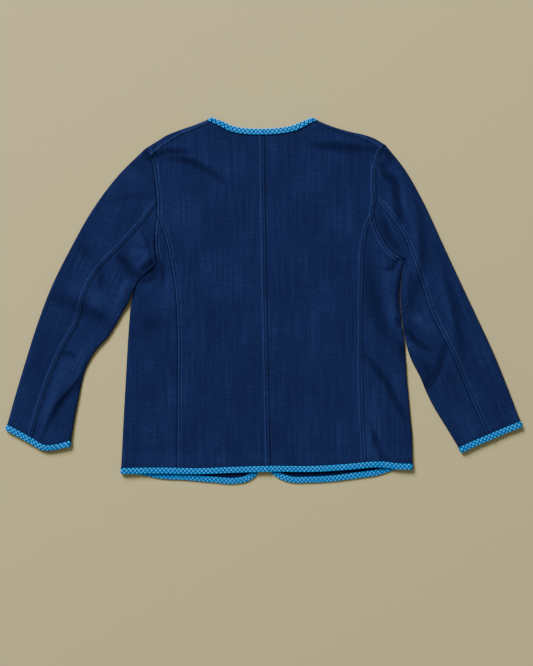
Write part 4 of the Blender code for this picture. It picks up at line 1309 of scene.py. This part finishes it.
@dataclass
class Stitches:
    """Raised stitches: their middles, the ways that they run and the surface's normals."""

    middles: np.ndarray
    ways: np.ndarray
    normals: np.ndarray
    length: float = 2.5
    radius: float = 0.3
    sides: int = 6
    proud: float = 0.14
    dive: float = 0.3
    # Where the thread's rings lie, as shares of its half length
    rings: tuple = (-0.86, -0.45, 0.45, 0.86)

    @classmethod
    def beside(cls, curve: Curve, distance: float, clear: tuple, lay: Lay, pitch: float = 3.5,
               probe: float = 0.7) -> "Stitches":
        """A row of stitches beside a curve, each on the slope of the cloth under it.

        Args:
            curve: the line that the row runs beside.
            distance: how far it runs to the curve's left.
            clear: how far from the curve's start and from its end the row keeps.
            lay: the cloth that it is sewn through.
            pitch: the distance between two stitches.
            probe: how far from a stitch the heights are read that give the slope.

        Returns:
            The stitches, lying on the cloth.
        """
        start, end = clear[0], curve.length - clear[1]
        count = max(2, round((end - start) / pitch))
        share = np.linspace(start, end, count) / curve.length
        plan = curve.beside(share, distance)
        x, y = plan[:, 0], plan[:, 1]
        height = GROUND.top(x, y, lay)
        slope_x = (GROUND.top(x + probe, y, lay) - height) / probe
        slope_y = (GROUND.top(x, y + probe, lay) - height) / probe
        normals = unit(np.stack([-slope_x, -slope_y, np.ones(count)], axis=-1))
        way = curve.way(share)
        rise = way[:, 0] * slope_x + way[:, 1] * slope_y
        ways = unit(np.concatenate([way, rise[:, None]], axis=-1))
        middles = np.concatenate([plan, height[:, None]], axis=-1) + normals * CLOTH / 2
        return cls(middles, ways, normals)

    def mesh_arrays(self) -> tuple[np.ndarray, np.ndarray, np.ndarray]:
        """Corners, quads and triangles of all stitches: an arched thread, rings between two poles.

        A ring's radius is the thread's times the root of 1 less the fourth power of its place.
        """
        t = np.array(self.rings)
        turn = np.linspace(0, 2 * np.pi, self.sides, endpoint=False)
        size = self.radius * np.sqrt(1 - t**4)
        along = np.concatenate([[-1.0], np.repeat(t, self.sides), [1.0]]) * self.length / 2
        across = np.concatenate([[0.0], np.outer(size, np.cos(turn)).ravel(), [0.0]])
        arch = self.proud - self.dive * (along / self.length * 2) ** 2
        up = np.concatenate([[0.0], np.outer(size, np.sin(turn)).ravel(), [0.0]]) + arch
        sideways = np.cross(self.normals, self.ways)
        corners = (self.middles[:, None] + self.ways[:, None] * along[:, None]
                   + sideways[:, None] * across[:, None] + self.normals[:, None] * up[:, None])
        side = np.arange(self.sides)
        after = (side + 1) % self.sides
        ring = (1 + np.arange(len(t) - 1) * self.sides)[:, None]
        wall = np.stack([ring + side, ring + after, ring + self.sides + after,
                         ring + self.sides + side], axis=-1).reshape(-1, 4)
        last = 1 + len(t) * self.sides
        final = last - self.sides
        ends = np.vstack([
            np.stack([np.zeros_like(side), 1 + after, 1 + side], axis=-1),
            np.stack([np.full_like(side, last), final + side, final + after], axis=-1),
        ])
        offset = (np.arange(len(self.middles)) * (last + 1))[:, None, None]
        return corners.reshape(-1, 3), (wall + offset).reshape(-1, 4), (ends + offset).reshape(-1, 3)


def sewn(name: str, rows: Sequence[Stitches], material: bpy.types.Material) -> bpy.types.Object:
    """One joined mesh of many rows of stitches."""
    middles, ways, normals = (np.vstack([getattr(row, part) for row in rows])
                              for part in ("middles", "ways", "normals"))
    points, wall, ends = Stitches(middles, ways, normals).mesh_arrays()
    piece = new_object(name, points, wall, caps=list(ends))
    merge(piece.data, THREAD_JOIN)
    piece.data.shade_smooth()
    piece.data.materials.append(material)
    return piece


@dataclass(frozen=True)
class Noise:
    """Soft noise in a finish: its waves to a metre each way, its share of the tone and its detail."""

    across: float
    along: float
    share: float = 1.0
    detail: float = 2.0
    up: float = 1.0


class Graph:
    """A material's node tree, built by short calls."""

    def __init__(self, name: str) -> None:
        """Starts the material with its shader.

        Args:
            name: the material's name.
        """
        self.material = bpy.data.materials.new(name)
        self.material.use_nodes = True
        self.tree = self.material.node_tree
        self.shader = next(node for node in self.tree.nodes if node.type == "BSDF_PRINCIPLED")

    def feed(self, socket: bpy.types.NodeSocket, value: object) -> None:
        """Joins another node's output to a socket, or sets the socket's own value."""
        if isinstance(value, bpy.types.NodeSocket):
            self.tree.links.new(value, socket)
        else:
            socket.default_value = value

    def node(self, kind: str, inputs: dict, **settings: object) -> bpy.types.Node:
        """A new node with its settings, and its inputs fed by name or number."""
        made = self.tree.nodes.new(f"ShaderNode{kind}")
        for key, value in settings.items():
            setattr(made, key, value)
        for key, value in inputs.items():
            self.feed(made.inputs[key], value)
        return made

    def math(self, operation: str, *values: object) -> bpy.types.NodeSocket:
        """The result of one sum, product or the like."""
        return self.node("Math", dict(enumerate(values)), operation=operation).outputs[0]

    def total(self, *terms: tuple[object, float]) -> bpy.types.NodeSocket:
        """The sum of outputs, each times its own weight."""
        result = None
        for value, weight in terms:
            part = self.math("MULTIPLY", value, weight)
            result = part if result is None else self.math("ADD", result, part)
        return result

    def step(self, value: object, start: float, end: float) -> bpy.types.NodeSocket:
        """A soft step from 0 at the start to 1 at the end."""
        return self.node("MapRange", {"Value": value, "From Min": start, "From Max": end},
                         interpolation_type="SMOOTHSTEP").outputs[0]

    def noise(self, vector: bpy.types.NodeSocket, kind: Noise) -> bpy.types.NodeSocket:
        """Soft noise about 0, from about -0.5 to 0.5, in coordinates stretched along each axis."""
        scale = (kind.across, kind.along, kind.up)
        place = self.node("Mapping", {"Vector": vector, "Scale": scale}).outputs[0]
        texture = self.node("TexNoise", {"Vector": place, "Scale": 1.0, "Detail": kind.detail})
        return self.math("SUBTRACT", texture.outputs[0], 0.5)

    def noises(self, vector: bpy.types.NodeSocket, *kinds: Noise) -> list[tuple]:
        """Each noise with its own share, as terms of a sum."""
        return [(self.noise(vector, kind), kind.share) for kind in kinds]

    def ramp(self, value: bpy.types.NodeSocket, *stops: tuple[float, tuple]) -> bpy.types.NodeSocket:
        """A run of colours, from (position, colour) stops."""
        made = self.node("ValToRGB", {"Fac": value})
        elements = made.color_ramp.elements
        while len(elements) < len(stops):
            elements.new(0.5)
        for element, (position, colour) in zip(elements, stops):
            element.position = position
            element.color = (*colour, 1.0)
        return made.outputs[0]

    def shade(self, **values: object) -> None:
        """Feeds the shader's sockets, whose names have underscores for spaces."""
        for key, value in values.items():
            self.feed(self.shader.inputs[key.replace("_", " ")], value)

    def bump(self, height: bpy.types.NodeSocket, distance: float) -> None:
        """A fine relief from a height, as deep in metres as the distance."""
        made = self.node("Bump", {"Height": height, "Distance": distance, "Strength": 1.0})
        self.feed(self.shader.inputs["Normal"], made.outputs[0])


@dataclass(frozen=True)
class NavyCloth:
    """Indigo sashiko cotton: staggered grains like rice in ribs along the grain, streaky and worn.

    The grains are where a sine along the grain times a cosine across it is high. The colour runs from dark
    to light by a base tone, the tone of folds and seams (lighter with wear on ridges, darker with painted
    shade in troughs and along sunk seam lines), the grains and the noises.
    """

    dark: tuple = (0.0026, 0.0046, 0.024)
    middle: tuple = (0.0092, 0.0150, 0.067)
    light: tuple = (0.024, 0.047, 0.155)
    base_tone: float = 0.44
    worn_share: float = 0.40
    # The share of the kept tone, which is wear on ridges and painted shade in troughs and seam lines
    grain_share: float = 0.12
    grain_repeat: float = 4.8
    grain_width: float = 1.6
    grain_edge: tuple = (-0.45, 0.75)
    streak: Noise = Noise(330.0, 9.0, 0.40)
    rib: Noise = Noise(150.0, 7.0, 0.16)
    weft: Noise = Noise(16.0, 240.0, 0.16)
    slub: Noise = Noise(620.0, 150.0, 0.46)
    fade: Noise = Noise(14.0, 10.0, 0.34, detail=4.0)
    relief: float = 0.00024
    slub_relief: float = 0.8
    streak_relief: float = 0.7

    def material(self) -> bpy.types.Material:
        """Builds the finish from the flat cloth's own coordinates and its tone of wear and painted shade.
        """
        graph = Graph("navy_sashiko")
        flat = graph.node("UVMap", {}, uv_map=UV_NAME).outputs[0]
        kept = graph.node("Attribute", {}, attribute_name=TONE_NAME, attribute_type="GEOMETRY")
        sides = graph.node("SeparateXYZ", {"Vector": flat})
        along = graph.math("MULTIPLY", sides.outputs[1], 2 * math.pi / (self.grain_repeat * MM))
        across = graph.math("MULTIPLY", sides.outputs[0], math.pi / (self.grain_width * MM))
        waves = graph.math("MULTIPLY", graph.math("SINE", along), graph.math("COSINE", across))
        grain = graph.step(waves, *self.grain_edge)
        terms = graph.noises(flat, self.streak, self.rib, self.weft, self.slub, self.fade)
        # The kept tone: lighter with wear on ridges, darker with painted shade in troughs and along sunk
        # seam lines
        worn = (kept.outputs["Fac"], self.worn_share)
        value = graph.total(*terms, worn, (grain, self.grain_share))
        value = graph.math("ADD", value, self.base_tone)
        colour = graph.ramp(value, (0.0, self.dark), (0.5, self.middle), (1.0, self.light))
        graph.shade(Base_Color=colour, Roughness=0.9, Specular_IOR_Level=0.05,
                    Sheen_Weight=0.05, Sheen_Roughness=0.5, Sheen_Tint=(0.20, 0.40, 0.90, 1.0))
        streak, slub = terms[0][0], terms[3][0]
        relief = graph.total((grain, 1.0), (slub, self.slub_relief), (streak, self.streak_relief))
        graph.bump(relief, self.relief)
        return graph.material


@dataclass(frozen=True)
class SkyTape:
    """Sky-blue woven tape with a row of diamonds, tip to tip and with a dot in each, in a darker blue.

    A diamond's line is where its shares along and across add up to 1, and its dot where they are near 0. A
    narrow band along each inner border is painted darker still, as the shadow at the tape's edge.
    """

    light: tuple = (0.010, 0.390, 0.950)
    middle: tuple = (0.004, 0.200, 0.640)
    dark: tuple = (0.001, 0.026, 0.160)
    # The colour of the painted shadow along each inner border of the tape
    border: tuple = (0.002, 0.009, 0.040)
    base_tone: float = 1.0
    drawn_share: float = -1.15
    row_middle: float = 6.6
    row_half: float = 4.7
    line_edge: tuple = (0.14, 0.44)
    dot_inset: float = 0.06
    border_edge: tuple = (1.2, 1.8)
    wear: Noise = Noise(260.0, 260.0, 0.6, detail=3.0)
    fade: Noise = Noise(30.0, 30.0, 0.4)
    weave: Noise = Noise(1500.0, 1500.0, 0.2, detail=1.0)
    relief: float = 0.00016
    drawn_relief: float = -0.6
    weave_relief: float = 0.8

    def material(self) -> bpy.types.Material:
        """Builds the finish from the run along the tape and the distance from its nearer border."""
        graph = Graph("sky_binding_tape")
        flat = graph.node("UVMap", {}, uv_map=UV_NAME).outputs[0]
        sides = graph.node("SeparateXYZ", {"Vector": flat})
        half_repeat = LATTICE_REPEAT / 2 * MM
        along = graph.math("DIVIDE", graph.math("PINGPONG", sides.outputs[0], half_repeat), half_repeat)
        across = graph.math("SUBTRACT", sides.outputs[1], self.row_middle * MM)
        across = graph.math("DIVIDE", graph.math("ABSOLUTE", across), self.row_half * MM)
        shares = graph.math("ADD", along, across)
        line = graph.math("ABSOLUTE", graph.math("SUBTRACT", shares, 1.0))
        dot = graph.math("ADD", shares, self.dot_inset)
        blank = graph.step(graph.math("MINIMUM", line, dot), *self.line_edge)
        drawn = graph.math("SUBTRACT", 1.0, blank)
        terms = graph.noises(flat, self.wear, self.fade, self.weave)
        value = graph.math("ADD", graph.total((drawn, self.drawn_share), *terms), self.base_tone)
        colour = graph.ramp(value, (0.0, self.dark), (0.5, self.middle), (1.0, self.light))
        # Near each inner border the colour goes over to the painted shadow
        inside = graph.step(sides.outputs[1], *(edge * MM for edge in self.border_edge))
        mixed = graph.node("MixRGB", {"Fac": inside, "Color1": (*self.border, 1.0), "Color2": colour})
        graph.shade(Base_Color=mixed.outputs[0], Roughness=0.85, Specular_IOR_Level=0.08,
                    Sheen_Weight=0.06, Sheen_Roughness=0.5, Sheen_Tint=(0.4, 0.7, 1.0, 1.0))
        weave = terms[-1][0]
        graph.bump(graph.total((drawn, self.drawn_relief), (weave, self.weave_relief)), self.relief)
        return graph.material


@dataclass(frozen=True)
class Thread:
    """Twisted cotton sewing thread."""

    name: str
    dark: tuple
    light: tuple
    fade: Noise = Noise(180.0, 180.0, up=180.0)
    twist: Noise = Noise(2600.0, 2600.0, up=2600.0)
    relief: float = 0.0001

    def material(self) -> bpy.types.Material:
        """Builds the finish, uneven along the rows."""
        graph = Graph(self.name)
        place = graph.node("TexCoord", {}).outputs["Object"]
        value = graph.math("ADD", graph.noise(place, self.fade), 0.5)
        colour = graph.ramp(value, (0.25, self.dark), (0.75, self.light))
        graph.shade(Base_Color=colour, Roughness=0.75, Specular_IOR_Level=0.3)
        graph.bump(graph.noise(place, self.twist), self.relief)
        return graph.material


NAVY_THREAD = Thread("navy_thread", (0.008, 0.024, 0.085), (0.024, 0.064, 0.180))
SKY_THREAD = Thread("sky_thread", (0.010, 0.150, 0.400), (0.026, 0.270, 0.580))


def topstitching() -> list[Stitches]:
    """The rows of stitches that hold the felled seams and the neck's facing."""
    rows = [Stitches.beside(seam.curve, seam.band * distance, seam.clear, seam.lay)
            for seam in GROUND.seams for distance in seam.rows]
    return [*rows, Stitches.beside(FACING_LINE, 0.0, (STITCH_MARGIN, STITCH_MARGIN), Lay.BODY)]


@dataclass
class Studio:
    """A plain pale floor, a soft key light from the upper left, a dim room and the camera above."""

    view_middle: tuple = (5.3, -62.4)
    view_height: float = 1279.0
    lens: float = 85.0
    sensor: float = 36.0
    floor_size: float = 14.0
    floor_drop: float = 0.35
    floor_colour: tuple = (0.545, 0.46, 0.225, 1.0)
    key_place: tuple = (-4.0, 6.2, 5.8)
    key_size: float = 3.8
    key_power: float = 1400.0
    room: tuple = (0.90, 0.95, 1.0, 1.0)
    room_strength: float = 0.27

    def camera(self) -> None:
        """Looks straight down from where the view's height fits the lens."""
        data = bpy.data.cameras.new("camera")
        data.lens, data.sensor_width = self.lens, self.sensor
        eye = bpy.data.objects.new("camera", data)
        far = self.view_height * MM * self.lens / self.sensor
        eye.location = (self.view_middle[0] * MM, self.view_middle[1] * MM, far)
        bpy.context.scene.collection.objects.link(eye)
        bpy.context.scene.camera = eye

    def floor(self) -> bpy.types.Object:
        """A wide flat floor just under the jacket."""
        half = self.floor_size / MM / 2
        corners = np.array([(-half, -half), (half, -half), (half, half), (-half, half)])
        points = np.column_stack([corners, np.full(4, -self.floor_drop)])
        made = new_object("floor", points, np.array([[0, 1, 2, 3]]))
        graph = Graph("pale_floor")
        graph.shade(Base_Color=self.floor_colour, Roughness=0.95, Specular_IOR_Level=0.1)
        made.data.materials.append(graph.material)
        return made

    def lights(self) -> None:
        """A square key light aimed at the jacket's middle, and an even dim room."""
        data = bpy.data.lights.new("key", "AREA")
        data.size, data.energy = self.key_size, self.key_power
        key = bpy.data.objects.new("key", data)
        key.location = self.key_place
        key.rotation_euler = (-key.location).to_track_quat("-Z", "Y").to_euler()
        bpy.context.scene.collection.objects.link(key)
        world = bpy.data.worlds.new("room")
        world.use_nodes = True
        sky = next(node for node in world.node_tree.nodes if node.type == "BACKGROUND")
        sky.inputs["Color"].default_value = self.room
        sky.inputs["Strength"].default_value = self.room_strength
        bpy.context.scene.world = world

    def build(self) -> None:
        """Sets up the whole studio."""
        self.camera()
        self.floor()
        self.lights()


@dataclass
class Jacket:
    """The whole garment: its cut pieces, its bindings and its sewing."""

    # The column of a side panel's lower layer that parts the hem's binding from the front's
    low_middle: int = 4
    pieces: dict = field(default_factory=dict)
    runs: dict = field(default_factory=dict)

    def __post_init__(self) -> None:
        """Makes the finishes that the pieces share."""
        self.navy, self.sky = NavyCloth().material(), SkyTape().material()

    def add_cut(self, node: str, stretches: Sequence[Stretch], grain: float = 0.0) -> None:
        """Builds one cut piece in place of its node, and keeps its flat size."""
        cut = CutPiece(node, stretches, grain)
        piece = cut.build(self.navy)
        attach(piece, "root")
        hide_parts(node)
        self.pieces[node] = (piece, cut.cut())
        log.info("%s: %d faces, cut %s", piece.name, len(piece.data.polygons), np.round(cut.cut(), 3))

    def add_tape(self, tape: Tape) -> Stitches:
        """Builds one binding in place of its node, and gives its stitches."""
        piece = tape.build(self.sky)
        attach(piece, "root")
        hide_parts(tape.node)
        self.pieces[tape.node] = (piece, None)
        log.info("%s: %d faces, %.0f mm long", piece.name, len(piece.data.polygons), tape.run[-1])
        return tape.stitch_places()

    def body(self, side: Side) -> Stitches:
        """One side of the body, and the binding of its front edge."""
        made, name, last = Body(side), side.value, -1 - BAND_CELLS
        back, neck = made.back()
        top, turned, low, hidden = made.side_panel()
        strip, fold, front, rim = made.front(hidden)
        self.add_cut(f"back_{name}", (back, neck))
        self.add_cut(f"side_{name}", (top, turned, low))
        self.add_cut(f"front_{name}", (strip, fold, front, rim))
        self.runs["neck", side] = [neck.points[:, -1], neck.points[:, 0]]
        self.runs["hem", side] = [
            joined(low.points[row][self.low_middle :: -1], turned.points[row][::-1],
                   top.points[row][::-1], back.points[row]) for row in (-1, last)
        ]
        edge, inner = (
            joined(strip.points[row], fold.points[row], rim.points[:, column],
                   low.points[row][: self.low_middle - 1 : -1]) for row, column in ((-1, -1), (last, 0))
        )
        return self.add_tape(Tape(f"front_binding_{name}", edge, inner))

    def sleeve(self, side: Side) -> Stitches:
        """One sleeve, and the binding of its cuff."""
        made, name = Sleeve(side), side.value
        inner_top, inner_turned, inner_low, hidden = made.under_panel()
        outer_top, outer_turned, outer_low = made.top_panel(hidden)
        grain = OUTLINES[side].grain
        self.add_cut(f"under_sleeve_{name}", (inner_top, inner_turned, inner_low), grain)
        self.add_cut(f"top_sleeve_{name}", (outer_top, outer_turned, outer_low), grain)
        ring = [
            joined(outer_top.points[row], outer_turned.points[row], outer_low.points[row],
                   inner_low.points[row][::-1], inner_turned.points[row][::-1],
                   inner_top.points[row][::-1])[:-1]
            for row in (-1, -1 - BAND_CELLS)
        ]
        return self.add_tape(Tape(f"cuff_binding_{name}", *ring, closed=True))

    def build(self) -> None:
        taped = [make(side) for side in Side for make in (self.body, self.sleeve)]
        for name in ("hem", "neck"):
            left, right = self.runs[name, Side.LEFT], self.runs[name, Side.RIGHT]
            edge, inner = (joined(one, other[::-1]) for one, other in zip(left, right))
            taped.append(self.add_tape(Tape(f"{name}_binding", edge, inner)))
        for name, rows, thread, slot in (
            ("seam_topstitching", topstitching(), NAVY_THREAD, "navy_cloth"),
            ("binding_stitching", taped, SKY_THREAD, "sky_binding"),
        ):
            piece = sewn(name, rows, thread.material())
            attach(piece, "root")
            self.pieces[name] = (piece, None)
            log.info("%s: %d faces", piece.name, len(piece.data.polygons))
        self.declare()

    def declare(self) -> None:
        """Goes through the pieces and passes over those that have no cut; it does nothing with the rest."""
        for node, (piece, cut) in self.pieces.items():
            if cut is None:
                continue


def corners(box: tuple) -> list[list[float]]:
    """A box as plain lists of numbers."""
    return [[float(number) for number in corner] for corner in box]


def main() -> None:
    """Builds the studio and the jacket."""
    logging.basicConfig(level=logging.INFO, format="%(name)s: %(message)s")
    Studio().build()
    Jacket().build()
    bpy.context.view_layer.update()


if __name__ == "__main__":
    main()
